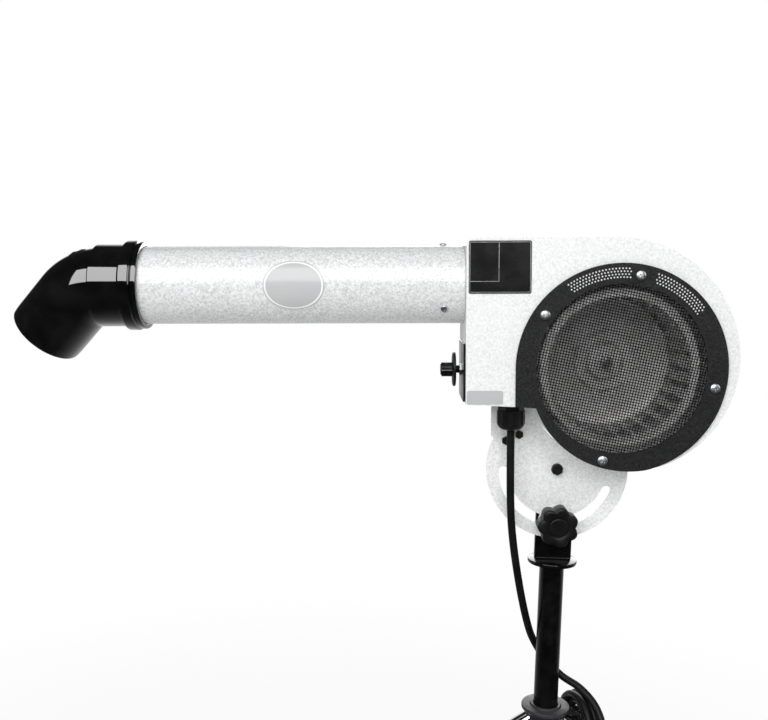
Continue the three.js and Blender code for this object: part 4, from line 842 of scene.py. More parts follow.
for i, angle in enumerate((90, 210, 330)):
    a = math.radians(angle)
    place = FAN @ Matrix.Translation((64.5 * math.cos(a), motor_front + 4.5 + GAP, 64.5 * math.sin(a)))
    form = together(rod(6.4, 0, 0.9), hexagon(8, 0.9, 3.5), rod(2.5, -12, 0, "y", 32))
    piece(f"motor_bolt_{i + 1}", form, place, "head", ZINC, f"motor_screw_{i + 1}", bevel=0.25, angle=20)

# ---------------------------------------------------------------------------
# Outlet tube, nozzle and badge
# ---------------------------------------------------------------------------

ON_TUBE = HEAD @ shift(0, 0, TUBE_Z)
bore = TUBE_R - TUBE_WALL
# The tube wears the darker copy of the white paint, a painted shade.
piece("tube_shell", pipe(bore, TUBE_R, TUBE_END, BOX_LEFT - GAP, "x", 160), ON_TUBE, "head", TUBE_SHADED_WHITE,
      "outlet_tube", bevel=0.25)
spigot_r = bore - GAP
spigot_bore = spigot_r - 1.7
inside = BOX_LEFT + SHEET + GAP
spigot_profile = [
    (spigot_bore, -160), (spigot_r, -160), (spigot_r, inside), (51.5, inside), (51.5, inside + 1.5),
    (spigot_bore, inside + 1.5)]
piece("spigot", lathe(spigot_profile, "x", 96, True), ON_TUBE, "head", STEEL, "outlet_spigot")
for i, angle in enumerate(TUBE_SCREWS):
    a = math.radians(angle)
    out = Vector((0, math.cos(a), math.sin(a)))
    spin = Vector((0, 1, 0)).rotation_difference(out).to_matrix().to_4x4()
    place = ON_TUBE @ Matrix.Translation(Vector((TUBE_SCREW_X, 0, 0)) + out * (TUBE_R + GAP)) @ spin
    screw(f"tube_pan_{i + 1}", place, 5, 2.8, 2, 7, "head", f"tube_screw_{i + 1}")
for node, finish in (("heater_frame", MICA), ("cutoff_plate", WHITE)):
    nodes[node].data.materials.clear()
    nodes[node].data.materials.append(finish.material)
heater_from = BOX_LEFT + SHEET + 2 * GAP + 1.5
coil = []
for i in range(3 * 40 + 1):
    a = 2 * math.pi * (i / 4 + 0.5) / 10
    coil.append((heater_from + 12 + 46 * i / 120, 44 * math.cos(a), 44 * math.sin(a)))
piece("heater_winding", tube(coil, 1.0, 8), ON_TUBE, "head", COIL, "heater_coil", angle=60)


bend_at = NOZZLE_BEND_START - NOZZLE_MOUTH


def bend_line(start, steps=28):
    """The nozzle's middle line: straight, then bent down, then straight to its outlet."""
    points = [Vector((start + (bend_at - start) * k / 6, 0, 0)) for k in range(6)]
    for k in range(steps + 1):
        a = NOZZLE_BEND * k / steps
        points.append(Vector((bend_at - NOZZLE_BEND_R * math.sin(a), 0, -NOZZLE_BEND_R * (1 - math.cos(a)))))
    end = points[-1]
    heading = Vector((-math.cos(NOZZLE_BEND), 0, -math.sin(NOZZLE_BEND)))
    for k in range(1, 9):
        points.append(end + heading * (NOZZLE_OUTLET_L * k / 8))
    return points


def swept_ring(line, outer, inner, sides=96):
    """A pipe along a line, with its wall closed at both ends."""
    out_verts, out_faces = tube(line, 1, sides, False, outer)
    in_verts, in_faces = tube(line, 1, sides, False, inner)
    base = len(out_verts)
    faces = list(out_faces) + [tuple(base + v for v in reversed(f)) for f in in_faces]
    last = (len(line) - 1) * sides
    faces += ring_quads(0, base, sides, turned=True)
    faces += ring_quads(last, base + last, sides)
    return out_verts + in_verts, faces


stop = TUBE_END - NOZZLE_MOUTH - GAP
body_line = bend_line(-27.0)
outer = [NOZZLE_R] * len(body_line)
inner = [NOZZLE_R - NOZZLE_WALL] * len(body_line)
outer[-1] -= 0.6
inner[-1] += 0.4
nozzle_forms = [swept_ring(body_line, outer, inner)]
NOZZLE_SOCKET = [
    (50.3, stop), (50.3, -1.0), (51.2, 0), (54.6, 0), (55.9, -0.5), (56.4, -1.6), (56.5, -2.4), (56.5, -5.2),
    (56.4, -6.0), (55.9, -6.6), (55.2, -8.2), (57.6, -9.8), (57.9, -10.4), (58.0, -11.2), (58.0, -21.0),
    (57.9, -21.8), (57.2, -23.2), (55.9, -24.0), (54.0, -24.2), (53.4, -24.5), (53.2, -25.2), (53.2, -61.0),
    (53.1, -61.8), (52.7, -62.6), (51.4, -63.2), (46.9, -63.2), (46.8, stop),
]
nozzle_forms.append(lathe(NOZZLE_SOCKET, "x", 160, True))
piece("nozzle_shell", together(*nozzle_forms), NOZZLE, "outlet", GLOSS, "nozzle", angle=30)


def on_back(angle, lift, across):
    """A point on the outer side of the nozzle's bend, at an angle along it, lifted off the surface."""
    r = NOZZLE_BEND_R + math.sqrt(NOZZLE_R ** 2 - across ** 2) + lift
    a = math.radians(angle)
    return (bend_at - r * math.sin(a), across, r * math.cos(a) - NOZZLE_BEND_R)


def raised_pad(first, last, height, width, steps=12):
    """A low moulded pad that follows the bend's outer side."""
    verts, faces = [], []
    for k in range(steps + 1):
        angle = first + (last - first) * k / steps
        for lift, across in ((-1, -width), (height, -width), (height, width), (-1, width)):
            verts.append(on_back(angle, lift, across))
    for k in range(steps):
        for m in range(4):
            n = (m + 1) % 4
            faces.append((4 * k + m, 4 * k + n, 4 * k + 4 + n, 4 * k + 4 + m))
    faces.append((3, 2, 1, 0))
    faces.append((4 * steps, 4 * steps + 1, 4 * steps + 2, 4 * steps + 3))
    return verts, faces


pads = [raised_pad(11, 22, 1.0, 5.5), raised_pad(12.5, 15, 1.6, 4.5, 3), raised_pad(18.5, 20.5, 1.6, 4.5, 3)]
piece("nozzle_lug", together(*pads), NOZZLE, "outlet", PLASTIC, bevel=0.3)


BADGE_ROWS, BADGE_COLUMNS = 20, 48


def badge_patch(a, b, lift, rows=BADGE_ROWS, columns=BADGE_COLUMNS):
    """An elliptical patch laid on the tube's front, its half sizes a and b measured along the surface."""
    verts, faces = [(BADGE_X, -(TUBE_R + lift), 0.0)], []
    for i in range(1, rows + 1):
        for k in range(columns):
            t = 2 * math.pi * k / columns
            x = BADGE_X + a * i / rows * math.cos(t)
            arc = b * i / rows * math.sin(t) / TUBE_R
            verts.append((x, -(TUBE_R + lift) * math.cos(arc), (TUBE_R + lift) * math.sin(arc)))
    for k in range(columns):
        faces.append((0, 1 + k, 1 + (k + 1) % columns))
    for i in range(rows - 1):
        faces += ring_quads(1 + i * columns, 1 + (i + 1) * columns, columns, turned=True)
    return verts, faces


def thick_patch(a, b, low, high):
    top_verts, top_faces = badge_patch(a, b, high)
    base_verts, base_faces = badge_patch(a, b, low)
    base = len(top_verts)
    faces = list(top_faces) + [tuple(base + v for v in reversed(f)) for f in base_faces]
    edge = 1 + (BADGE_ROWS - 1) * BADGE_COLUMNS
    faces += ring_quads(edge, base + edge, BADGE_COLUMNS, turned=True)
    return top_verts + base_verts, faces


BADGE_A, BADGE_B = 38.5, TUBE_R * math.asin(30 / TUBE_R)
piece("badge_line", thick_patch(BADGE_A, BADGE_B, GAP, GAP + 0.45), ON_TUBE, "head", BADGE_GREY,
      "tube_badge")
piece("badge_ring", thick_patch(BADGE_A - 1.5, BADGE_B - 1.5, GAP + 0.45, GAP + 0.53), ON_TUBE, "head",
      BADGE_WHITE)
piece("badge_field", thick_patch(BADGE_A - 3.6, BADGE_B - 3.6, GAP + 0.53, GAP + 0.6), ON_TUBE, "head",
      BADGE_GREY)

# ---------------------------------------------------------------------------
# Plates, selector and cable gland
# ---------------------------------------------------------------------------


def rounded(x0, x1, z0, z1, r, steps=6):
    points = []
    left, right, low, high = x0 + r, x1 - r, z0 + r, z1 - r
    for cx, cz, start in ((right, high, 0), (left, high, 90), (left, low, 180), (right, low, 270)):
        for k in range(steps + 1):
            a = math.radians(start + 90 * k / steps)
            points.append((cx + r * math.cos(a), cz + r * math.sin(a)))
    return points


label_back = -HALF - GAP
label_front = label_back - 0.6
piece("rating_blank", flat([rounded(-120.3, -43.8, 230, 294.4, 2)], label_front, label_back), HEAD, "head",
      PLATE_BLACK, "rating_plate", bevel=0.15)
rules = []
for outline in (
    (-119.3, -44.8, 292.4, 293.0), (-119.3, -44.8, 231.4, 232.0), (-119.3, -118.7, 231.4, 293.0),
    (-45.4, -44.8, 231.4, 293.0), (-118.7, -83.2, 244.6, 245.2), (-83.8, -83.2, 244.6, 293.0),
):
    x0, x1, z0, z1 = outline
    rules.append(flat([[(x0, z0), (x1, z0), (x1, z1), (x0, z1)]], label_front - 0.06, label_front + 0.1))
piece("rating_rules", together(*rules), HEAD, "head", GREY)
piece("voltage_blank", flat([rounded(-121.8, -77.2, 93.2, 110, 2.4)], label_front, label_back), HEAD,
      "head", LABEL_GREY, "voltage_plate", bevel=0.15)

WALL = HEAD @ shift(BOX_LEFT - GAP, 0, 0) @ spun(90, "Z")
control_t = 2.3
control = [(-50, 100), (-44, 94), (-5.5, 94), (-5.5, 167.5), (-50, 167.5)]
piece("control_panel", flat([control, circle(SELECTOR_Y, SELECTOR_Z, SELECTOR_HOLE_R, 48)], 0, control_t),
      WALL, "head", PLATE_BLACK, "control_plate", bevel=0.3)
side_label = [(-5, 94), (33, 94), (38, 99), (38, 167.5), (-5, 167.5)]
piece("control_side", flat([side_label], 0, control_t), WALL, "head", LABEL_GREY, "control_label",
      bevel=0.3)

SELECT = HEAD @ shift(0, SELECTOR_Y, SELECTOR_Z)
seat = BOX_LEFT - GAP - control_t
bush_end = -133.5
thread = [(3.3, bush_end)]
x = bush_end + 0.3
while x < seat - 3.6:
    thread += [(4.6, x), (5.0, x + 0.3), (5.0, x + 0.5), (4.6, x + 0.8)]
    x += 0.9
thread += [(5.0, seat), (5.0, BOX_LEFT + SHEET + 2), (3.3, BOX_LEFT + SHEET + 2)]
piece(
    "switch_body", together(cuboid(BOX_LEFT + SHEET + GAP, BOX_LEFT + 27.5, -14, 14, -14, 14),
    lathe(thread, "x", 48, True)), SELECT, "head", PLASTIC, "selector_switch")
piece("switch_nut", pipe(5.3, 8.08, seat - GAP - 3, seat - GAP, "x", 6), SELECT, "head", ZINC,
      "selector_nut", bevel=0.4, angle=20)
knob_profile = [
    (0, seat + 14), (3, seat + 14), (3, bush_end - GAP), (20.6, bush_end - GAP), (21.7, bush_end - 0.7),
    (22, bush_end - 1.5), (22, bush_end - 2.6), (21.4, bush_end - 3.6), (20, bush_end - 4.3),
    (9.6, bush_end - 4.9), (9.0, bush_end - 5.4), (8.0, bush_end - 17.8), (7.5, bush_end - 19),
    (6.6, bush_end - 19.5), (0, bush_end - 19.5)]
grips = [
    moved(cuboid(bush_end - 18.2, bush_end - 4.8, -0.7, 0.7, 7.6, 9.4),
    spun(a, "X")) for a in range(30, 331, 20)]
FACING = spun(90, "X")
pointer = moved(cuboid(bush_end - 18.5, bush_end - 4, -2, 2, 6, 14), FACING)
piece("selector_dial", together(lathe(knob_profile, "x", 96), pointer, *grips), SELECT, "selector", PLASTIC,
      "selector_knob", bevel=0.25)
pointer_line = moved(cuboid(bush_end - 18.62, bush_end - 4.6, -0.5, 0.5, 13.2, 14.06), FACING)
piece("selector_line", pointer_line, SELECT, "selector", GREY)

GLAND = HEAD @ shift(GLAND_X, GLAND_Y, 0)
gland_bore = CORD_D / 2 + GAP
wall_z = bottom_z(GLAND_X)
GLAND_HEX_R = 16.74  # over the corners
gland_forms = [
    pipe(gland_bore, 12, 70, wall_z + 11, "z", 64),
    pipe(11, GLAND_HEX_R, 82, wall_z - 1.3, "z", 6),
    pipe(11, GLAND_HEX_R, wall_z + SHEET + 1.2, wall_z + SHEET + 6.2, "z", 6),
]
piece("gland_shell", together(*gland_forms), GLAND, "head", PLASTIC, "gland_body", bevel=0.4, angle=20)
nut_profile = [
    (gland_bore, GLAND_END), (7.6, GLAND_END), (9.4, GLAND_END + 0.4), (12.4, GLAND_END + 1.5),
    (14.8, GLAND_END + 3.2), (16.2, GLAND_END + 5.4), (16.6, GLAND_END + 7.4), (16.6, 80.9), (16.0, 81.7),
    (12.3, 81.7), (12.3, 69.7), (gland_bore, 69.7)]
nut_forms = [lathe(nut_profile, "z", 96, True)]
for k in range(8):
    rib = [(15.2, 60.5), (17.1, 62.4), (18, 65.2), (18, 80.7), (17.4, 81.5), (15.2, 81.5)]
    form = flat([rib], -2.7, 2.7)
    nut_forms.append(moved(form, spun(45 * k + 12, "Z")))
piece("gland_cap", together(*nut_forms), GLAND, "head", PLASTIC, "gland_nut", bevel=0.6)

# ---------------------------------------------------------------------------
# Ear bracket and quadrant
# ---------------------------------------------------------------------------

ear_back = QUADRANT_FRONT + QUADRANT_T + GAP + 3


def ear_top(x):
    return bottom_z(x) - GAP


ear_right = around_fan(scroll_r(scroll_start(0)), scroll_start(0))[0] - 1.5
ear_left = ear_right - 48
ear = [(ear_left, 44), (ear_left + 12, 31), (ear_right, 31), (ear_right, ear_top(ear_right)),
       (ear_left, ear_top(ear_left))]
flange = [
    (ear_right, ear_top(ear_right) - 3), (ear_right, ear_top(ear_right)), (ear_left, ear_top(ear_left)),
    (ear_left, ear_top(ear_left) - 3)]
ear_at = [(ear_right + x, z) for x, z in EAR_BOLTS]
ear_holes = [circle(x, z, 3.3, 32) for x, z in ear_at]
piece(
    "ear",
    together(flat([ear, *ear_holes], ear_back - 3, ear_back), flat([flange], ear_back - 1, ear_back + 26)),
    HEAD, "head", WHITE, "ear_bracket", bevel=0.5)


def arc_slot(r, width, low, high, steps=64):
    a, b = math.radians(low - 90), math.radians(high - 90)
    w = width / 2
    points = [
        ((r + w) * math.cos(a + (b - a) * k / steps),
        (r + w) * math.sin(a + (b - a) * k / steps)) for k in range(steps + 1)]
    for k in range(1, 12):
        t = b + math.pi * k / 12
        points.append((r * math.cos(b) + w * math.cos(t), r * math.sin(b) + w * math.sin(t)))
    points += [
        ((r - w) * math.cos(b + (a - b) * k / steps),
        (r - w) * math.sin(b + (a - b) * k / steps)) for k in range(steps + 1)]
    for k in range(1, 12):
        t = a + math.pi + math.pi * k / 12
        points.append((r * math.cos(a) + w * math.cos(t), r * math.sin(a) + w * math.sin(t)))
    return points


def inside_housing(x, z):
    """True for a point within 1 mm of the housing's outline, or inside it."""
    dx, dz = x - FAN_X, z - FAN_Z
    phi = math.degrees(math.atan2(dz, dx)) % 360
    r = math.hypot(dx, dz)
    if phi < 90:
        phi += 360
    if phi >= scroll_start(-1) and r < scroll_r(phi) + 1:
        return True
    return x < around_fan(scroll_r(SCROLL_FROM), scroll_start(0))[0] + 4 and z > bottom_z(x) - 1


RIM_STEPS = 720
rim = circle(0, 0, QUADRANT_R, RIM_STEPS)
outside = [not inside_housing(*p) for p in rim]
rim_start = next(i for i in range(RIM_STEPS) if not outside[i] and outside[(i + 1) % RIM_STEPS]) + 1
rim_order = [(rim_start + k) % RIM_STEPS for k in range(RIM_STEPS)]
outer_arc = [rim[i] for i in rim_order if outside[i]]
along = []
for k in range(400):
    phi = scroll_start(-1) + k * 0.4
    x, z = around_fan(scroll_r(phi) + 1, phi)
    if math.hypot(x, z) >= QUADRANT_R and k > 20:
        break
    along.append((x, z))
quadrant_outline = outer_arc + along[::-1]
piece(
    "quadrant", flat([quadrant_outline, arc_slot(SLOT_R, SLOT_W, SLOT_LEFT, SLOT_RIGHT),
    circle(0, 0, BOLT_HOLE_R, 40), *ear_holes], QUADRANT_FRONT, QUADRANT_FRONT + QUADRANT_T), HEAD, "head",
    SILVER, "quadrant_plate", bevel=0.4)
for i, (x, z) in enumerate(ear_at):
    front = QUADRANT_FRONT - GAP
    form = together(hexagon(10, front - 4, front), rod(3, front - 1, ear_back + 7))
    piece(f"ear_bolt_head_{i + 1}", form, HEAD @ shift(x, 0, z), "head", DARK_ZINC, f"ear_bolt_{i + 1}",
          bevel=0.4, angle=20)

# ---------------------------------------------------------------------------
# Post: tongue, tube, pivot bolt, tilt clamp
# ---------------------------------------------------------------------------

half = 24.0
foot_z = POST_TOP + GAP - PIVOT_Z
tongue = [(-half, foot_z), (half, foot_z)]
for k in range(49):
    a = math.pi * k / 48
    tongue.append((half * math.cos(a), half * math.sin(a)))
piece(
    "tongue_plate",
    flat([tongue, circle(0, 0, BOLT_HOLE_R, 40), circle(0, -SLOT_R, BOLT_HOLE_R, 40)], -3, 3), PIVOT,
    "post", PAINT, "tongue", bevel=0.6)
weld = []
for y in (-3.6, 3.6):
    line = [(x, y, foot_z + 0.9 + 0.25 * math.sin(x * 2.1)) for x in [-22.5 + 0.75 * k for k in range(61)]]
    radii = [1.5 + 0.18 * math.sin(k * 1.9) for k in range(61)]
    weld.append(tube(line, 1.5, 12, True, radii))
piece("tongue_weld", together(*weld), PIVOT, "post", PAINT, angle=60)
disc = [
    (0, POST_TOP), (DISC_R - 1.2, POST_TOP), (DISC_R - 0.4, POST_TOP - 0.3), (DISC_R, POST_TOP - 1.1),
    (DISC_R, POST_TOP - DISC_T + 1.1), (DISC_R - 0.4, POST_TOP - DISC_T + 0.3),
    (DISC_R - 1.2, POST_TOP - DISC_T), (18.6, POST_TOP - DISC_T), (17.4, POST_TOP - DISC_T - 0.5),
    (16.5, POST_TOP - DISC_T - 1.6), (POST_R, POST_TOP - DISC_T - 3), (POST_R, POST_END + 20),
    (23.6, POST_END + 20), (23.6, POST_END), (14, POST_END), (14, POST_TOP - DISC_T - 2),
    (0, POST_TOP - DISC_T - 2)]
piece("post_shell", lathe(disc, "z", 96), TO_ROW, "post", PAINT, "post_tube")

bolt_front = QUADRANT_FRONT - GAP
pivot = together(
    rod(7.6, bolt_front, bolt_front - 1.0, "y", 48), hexagon(13, bolt_front - 5.5, bolt_front - 1.0),
    lathe([(0, bolt_front - 1), (4, bolt_front - 1), (4, 12.2), (3.4, 12.8), (0, 12.8)], "y", 40))
piece("pivot_bolt_head", pivot, PIVOT, "post", DARK_ZINC, "pivot_bolt", bevel=0.5, angle=20)
piece("pivot_nut_body", hexagon(13, 3.3, 10.3), PIVOT, "post", ZINC, "pivot_nut", bevel=0.5, angle=20)
washer_front = bolt_front - 2
knob_seat = washer_front - GAP
piece(
    "clamp_disc", lathe([(4.3, washer_front), (21.3, washer_front), (22, washer_front + 0.7),
    (22, bolt_front), (4.3, bolt_front)], "y", 96, True), CLAMP, "post", SILVER, "clamp_washer")
stud = together(hexagon(13, 3.3, 8.8), rod(4, knob_seat - 22, 4))
piece("clamp_bolt", stud, CLAMP, "post", DARK_ZINC, "clamp_stud", bevel=0.4, angle=20)


def lobed(radius, lobes, height, neck_r, neck_l, cap_r, bore=0.0, bore_depth=0.0, sides=168):
    """A hand knob along Y: a neck, a body of round lobes with soft edges, and a raised cap."""

    def outline(inset):
        points = []
        for k in range(sides):
            a = 2 * math.pi * k / sides
            wave = (0.5 + 0.5 * math.cos(lobes * a)) ** 0.6
            points.append(((radius * (0.83 + 0.17 * wave) - inset), a))
        return points

    top = height - 1
    levels = [
        (neck_l, 4.0), (neck_l + 0.5, 1.6), (neck_l + 1.6, 0.4), (neck_l + 3, 0.0), (top - 3.4, 0.0),
        (top - 1.6, 0.5), (top - 0.5, 1.7), (top, 3.6)]
    verts, faces = [], []
    for s, inset in levels:
        for r, a in outline(inset):
            verts.append((r * math.cos(a), s, r * math.sin(a)))
    for i in range(len(levels) - 1):
        faces += ring_quads(i * sides, (i + 1) * sides, sides)
    base = len(verts)
    for _, a in outline(0):
        verts.append((neck_r * math.cos(a), neck_l, neck_r * math.sin(a)))
    faces += ring_quads(base, 0, sides)
    ring_top = len(verts)
    dish = [
        (cap_r + 2.2, top), (cap_r + 1.0, top - 0.9), (cap_r, top - 1.0), (cap_r, height - 0.7),
        (cap_r - 0.6, height - 0.1), (cap_r - 1.4, height), (cap_r * 0.5, height - 0.5),
        (0.01, height - 0.6)]
    for r, s in dish:
        for k in range(sides):
            a = 2 * math.pi * k / sides
            verts.append((r * math.cos(a), s, r * math.sin(a)))
    last_level = (len(levels) - 1) * sides
    rings = [last_level] + [ring_top + i * sides for i in range(len(dish))]
    for low, high in zip(rings, rings[1:]):
        faces += ring_quads(low, high, sides)
    faces.append(tuple(rings[-1] + k for k in range(sides)))
    foot = len(verts)
    inner = max(bore, 0.01)
    for r, s in ((neck_r, 0.4), (neck_r - 0.4, 0), (inner, 0), (inner, bore_depth or 0.2)):
        for k in range(sides):
            a = 2 * math.pi * k / sides
            verts.append((r * math.cos(a), s, r * math.sin(a)))
    rings = [base, foot, foot + sides, foot + 2 * sides, foot + 3 * sides]
    for low, high in zip(rings, rings[1:]):
        faces += ring_quads(low, high, sides, turned=True)
    faces.append(tuple(reversed([rings[-1] + k for k in range(sides)])))
    return verts, faces


KNOB = TO_ROW @ shift(0, knob_seat, PIVOT_Z - SLOT_R)
KNOB = KNOB @ Matrix.Rotation(math.pi, 4, "X") @ spun(180 / 7, "Y")
piece("tilt_handle", lobed(26.5, 7, 31, 15, 6, 12, 4.3, 24), KNOB, "tilt_clamp", PLASTIC, "tilt_knob",
      angle=40)

# ---------------------------------------------------------------------------
# Stand: bush, column, collar, legs, feet, height knob
# ---------------------------------------------------------------------------

bush_r = COLUMN_R - 1.5 - GAP
bush = [
    (16.3, STAND_TOP - 65), (bush_r, STAND_TOP - 65), (bush_r, LOCK_Z - 4.6), (bush_r - 2.2, LOCK_Z - 4.6),
    (bush_r - 2.2, LOCK_Z + 4.6), (bush_r, LOCK_Z + 4.6), (bush_r, STAND_TOP - DISC_T),
    (DISC_R - 1, STAND_TOP - DISC_T), (DISC_R - 0.3, STAND_TOP - DISC_T + 0.3),
    (DISC_R, STAND_TOP - DISC_T + 1), (DISC_R, STAND_TOP - 1.1), (DISC_R - 0.4, STAND_TOP - 0.3),
    (DISC_R - 1.2, STAND_TOP), (21.5, STAND_TOP), (20.9, STAND_TOP + 0.3), (20.4, STAND_TOP + 1.6),
    (19.6, STAND_TOP + 2.2), (17.2, STAND_TOP + 2.2), (16.4, STAND_TOP + 1.5)]
piece("bush_shell", lathe(bush, "z", 96, True), TO_ROW, "swivel", NYLON, "swivel_bush")
column_top = STAND_TOP - DISC_T - GAP
lock_turn = Vector((0, 1, 0)).rotation_difference(lock_out).to_matrix().to_4x4()
LOCK_FORM = shift(0, 0, LOCK_Z) @ lock_turn
lock_hole = moved(rod(4.5, 15, 60), LOCK_FORM)
piece("column_tube", pipe(COLUMN_R - 1.5, COLUMN_R, COLUMN_END, column_top, "z", 96), TO_ROW, "stand",
      CHROME, "column", cut=[lock_hole])
piece(
    "column_plug", lathe([(0, COLUMN_END - 5), (COLUMN_R - 2.2, COLUMN_END - 5),
    (COLUMN_R - 0.6, COLUMN_END - 4.4), (COLUMN_R, COLUMN_END - 3), (COLUMN_R, COLUMN_END - GAP),
    (23.6, COLUMN_END - GAP), (23.6, COLUMN_END + 14), (0, COLUMN_END + 14)], "z", 96), TO_ROW, "stand",
    PLASTIC, "column_cap")
collar = lathe(
    [(COLUMN_R + GAP, column_top - COLLAR_L), (COLLAR_R - 0.6, column_top - COLLAR_L),
    (COLLAR_R, column_top - COLLAR_L + 0.6), (COLLAR_R, column_top - 1.5),
    (COLLAR_R - 0.5, column_top - 0.4), (COLLAR_R - 1.5, column_top), (COLUMN_R + GAP, column_top)], "z",
    96, True)
boss = moved(
    lathe([(4.5, 27), (10, 27), (10, LOCK_SEAT - 0.6), (9.4, LOCK_SEAT), (4.5, LOCK_SEAT)], "y", 48, True),
    LOCK_FORM)
piece("collar_shell", together(collar, boss), TO_ROW, "stand", CHROME, "hub_collar")


def leg_line():
    knee_z = LEG_ROOT_Z - (LEG_KNEE_R - COLLAR_R) * math.tan(LEG_SLOPE)
    run = Vector((math.cos(LEG_FOOT_SLOPE), 0, -math.sin(LEG_FOOT_SLOPE)))
    start = Vector((COLLAR_R - 3, 0, LEG_ROOT_Z + 3 * math.tan(LEG_SLOPE)))
    knee = Vector((LEG_KNEE_R, 0, knee_z))
    end = knee + run * ((knee_z - LEG_END_Z) / math.sin(LEG_FOOT_SLOPE))
    before = (knee - start).normalized()
    angle = before.angle(run)
    back = LEG_KNEE_BEND_R * math.tan(angle / 2)
    inward = (run - before).normalized()
    centre = knee + inward * (LEG_KNEE_BEND_R / math.cos(angle / 2))
    entry = knee - before * back
    out = (centre - entry).normalized()
    points = [start.lerp(entry, k / 6) for k in range(6)]
    for k in range(29):
        t = angle * k / 28
        along, over = LEG_KNEE_BEND_R * math.sin(t), LEG_KNEE_BEND_R * math.cos(t)
        points.append(centre - out * over + before * along)
    knee_end = points[-1]
    points += [knee_end.lerp(end, k / 6) for k in range(1, 7)]
    return points, end, run


leg_points, leg_end, leg_run = leg_line()
foot_profile = [
    (0, -28), (FOOT_R - 0.6, -28), (FOOT_R, -27), (FOOT_R, 0), (FOOT_R - 0.05, 2), (14.6, 8), (14.2, 23.4),
    (13.6, 25.2), (12.6, 26), (LEG_R + GAP, 26), (LEG_R + GAP, -GAP), (0, -GAP)]
foot_ribs = [
    lathe([(13.9, 6 + 4.5 * k), (15.0, 6.4 + 4.5 * k), (15.0, 7.6 + 4.5 * k), (13.9, 8 + 4.5 * k)], "z", 64,
    True) for k in range(3)]
tip = Vector((0, 0, 1)).rotation_difference(-leg_run).to_matrix().to_4x4()
for i, azimuth in enumerate(LEG_AZIMUTHS):
    spin = TO_ROW @ spun(azimuth, "Z")
    piece(f"leg_tube_{i + 1}", tube(leg_points, LEG_R, 48), spin, "stand", CHROME, f"leg_{i + 1}",
          angle=60)
    foot = moved(together(lathe(foot_profile, "z", 64), *foot_ribs), Matrix.Translation(leg_end) @ tip)
    piece(
        f"foot_boot_{i + 1}", foot, spin, "stand", FOOT, f"foot_{i + 1}",
        cut=[cuboid(200, 600, -100, 100, -100, 0)])

HEIGHT = TO_ROW @ Matrix.Translation(Vector((0, 0, LOCK_Z)) + lock_out * lock_knob_at) @ lock_turn
height_stud = lathe(
    [(0, bush_r - 1.7 - lock_knob_at), (3.4, bush_r - 1.7 - lock_knob_at), (4, bush_r - 1.1 - lock_knob_at),
    (4, 1), (0, 1)], "y", 40)
piece("height_handle", together(lobed(21, 6, 18, 9, 2, 9), height_stud), HEIGHT, "height_clamp", PLASTIC,
      "height_knob", angle=40)

# ---------------------------------------------------------------------------
# Studio: floor, backdrop light, lamps
# ---------------------------------------------------------------------------


def between(tree, value, low, high, out_low, out_high):
    """A value carried from one range to another, held at its ends."""
    node = tree.nodes.new("ShaderNodeMapRange")
    node.interpolation_type = "SMOOTHSTEP"
    tree.links.new(value, node.inputs["Value"])
    for key, number in (("From Min", low), ("From Max", high), ("To Min", out_low), ("To Max", out_high)):
        node.inputs[key].default_value = number
    return node.outputs["Result"]


def parts_of(tree, vector):
    node = tree.nodes.new("ShaderNodeSeparateXYZ")
    tree.links.new(vector, node.inputs[0])
    return node.outputs


# The backdrop is white to the camera. Polished surfaces see it behind the dryer, and a dim room in front.
ROOM = 0.02
world = bpy.data.worlds.new("studio")
bpy.context.scene.world = world
world.use_nodes = True
tree = world.node_tree
tree.nodes.clear()
output = tree.nodes.new("ShaderNodeOutputWorld")
sky = tree.nodes.new("ShaderNodeBackground")
sky.inputs["Color"].default_value = (1, 1, 1, 1)
rays = tree.nodes.new("ShaderNodeLightPath").outputs
direction = parts_of(tree, tree.nodes.new("ShaderNodeTexCoord").outputs["Generated"])
mirrored = maths(tree, "MAXIMUM", rays["Is Glossy Ray"], rays["Is Transmission Ray"])
backdrop = between(tree, direction["Y"], 0.72, 1.0, ROOM, 1.0)
fill = between(tree, direction["Z"], -0.2, 0.9, 0.17, 0.29)
hidden = maths(tree, "SUBTRACT", 1.0, maths(tree, "MAXIMUM", rays["Is Camera Ray"], mirrored))
level = maths(tree, "ADD", rays["Is Camera Ray"], maths(tree, "MULTIPLY", mirrored, backdrop))
tree.links.new(maths(tree, "ADD", level, maths(tree, "MULTIPLY", hidden, fill)), sky.inputs["Strength"])
tree.links.new(sky.outputs[0], output.inputs["Surface"])

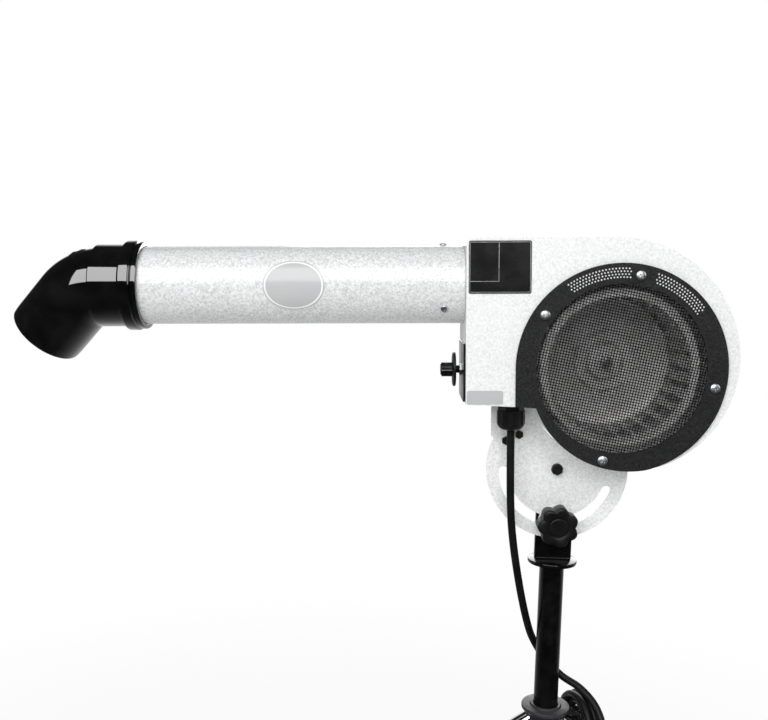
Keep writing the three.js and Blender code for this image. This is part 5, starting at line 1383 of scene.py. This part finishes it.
floor_mesh = bpy.data.meshes.new("floor")
floor_mesh.from_pydata([(-30, -30, 0), (30, -30, 0), (30, 30, 0), (-30, 30, 0)], [], [(0, 1, 2, 3)])
floor = bpy.data.objects.new("floor", floor_mesh)
bpy.context.scene.collection.objects.link(floor)
floor.location.z = -0.0005
floor_material = bpy.data.materials.new("floor")
floor_material.use_nodes = True
tree = floor_material.node_tree
tree.nodes.clear()
output = tree.nodes.new("ShaderNodeOutputMaterial")
plain = tree.nodes.new("ShaderNodeBsdfDiffuse")
plain.inputs["Color"].default_value = (0.86, 0.86, 0.86, 1)
glow = tree.nodes.new("ShaderNodeEmission")
mix = tree.nodes.new("ShaderNodeMixShader")
rays = tree.nodes.new("ShaderNodeLightPath").outputs
place = parts_of(tree, tree.nodes.new("ShaderNodeTexCoord").outputs["Object"])
across_squared = maths(tree, "MULTIPLY", place["X"], place["X"])
deep_squared = maths(tree, "MULTIPLY", place["Y"], place["Y"])
away = maths(tree, "ADD", across_squared, deep_squared)
paper = between(tree, away, 0.3, 2.5, 0.82, 1.0)
mirrored = maths(tree, "MAXIMUM", rays["Is Glossy Ray"], rays["Is Transmission Ray"])
share = maths(tree, "MAXIMUM", maths(tree, "MULTIPLY", rays["Is Camera Ray"], paper), mirrored)
front = between(tree, place["Y"], -0.45, 1.4, ROOM, 0.55)
tree.links.new(
    maths(tree, "ADD", rays["Is Camera Ray"], maths(tree, "MULTIPLY", mirrored, front)),
    glow.inputs["Strength"])
tree.links.new(share, mix.inputs["Fac"])
tree.links.new(plain.outputs[0], mix.inputs[1])
tree.links.new(glow.outputs[0], mix.inputs[2])
tree.links.new(mix.outputs[0], output.inputs["Surface"])
floor.data.materials.append(floor_material)


def lamp(name, place, aim, width, height, power):
    light = bpy.data.lights.new(name, "AREA")
    light.shape = "RECTANGLE"
    light.size = width
    light.size_y = height
    light.energy = power
    obj = bpy.data.objects.new(name, light)
    bpy.context.scene.collection.objects.link(obj)
    obj.location = place
    obj.rotation_euler = (Vector(aim) - Vector(place)).to_track_quat("-Z", "Y").to_euler()


lamp("key", (-0.65, -2.10, 2.20), (-0.42, -0.07, 0.93), 3.3, 1.75, 72)
lamp("side", (2.6, -0.6, 1.9), (0.1, 0, 0.7), 1.2, 1.6, 12)
lamp("back", (0.60, 2.40, 1.60), (0.10, 0.10, 0.80), 2.2, 1.3, 34)

bpy.context.scene.view_settings.view_transform = "Standard"
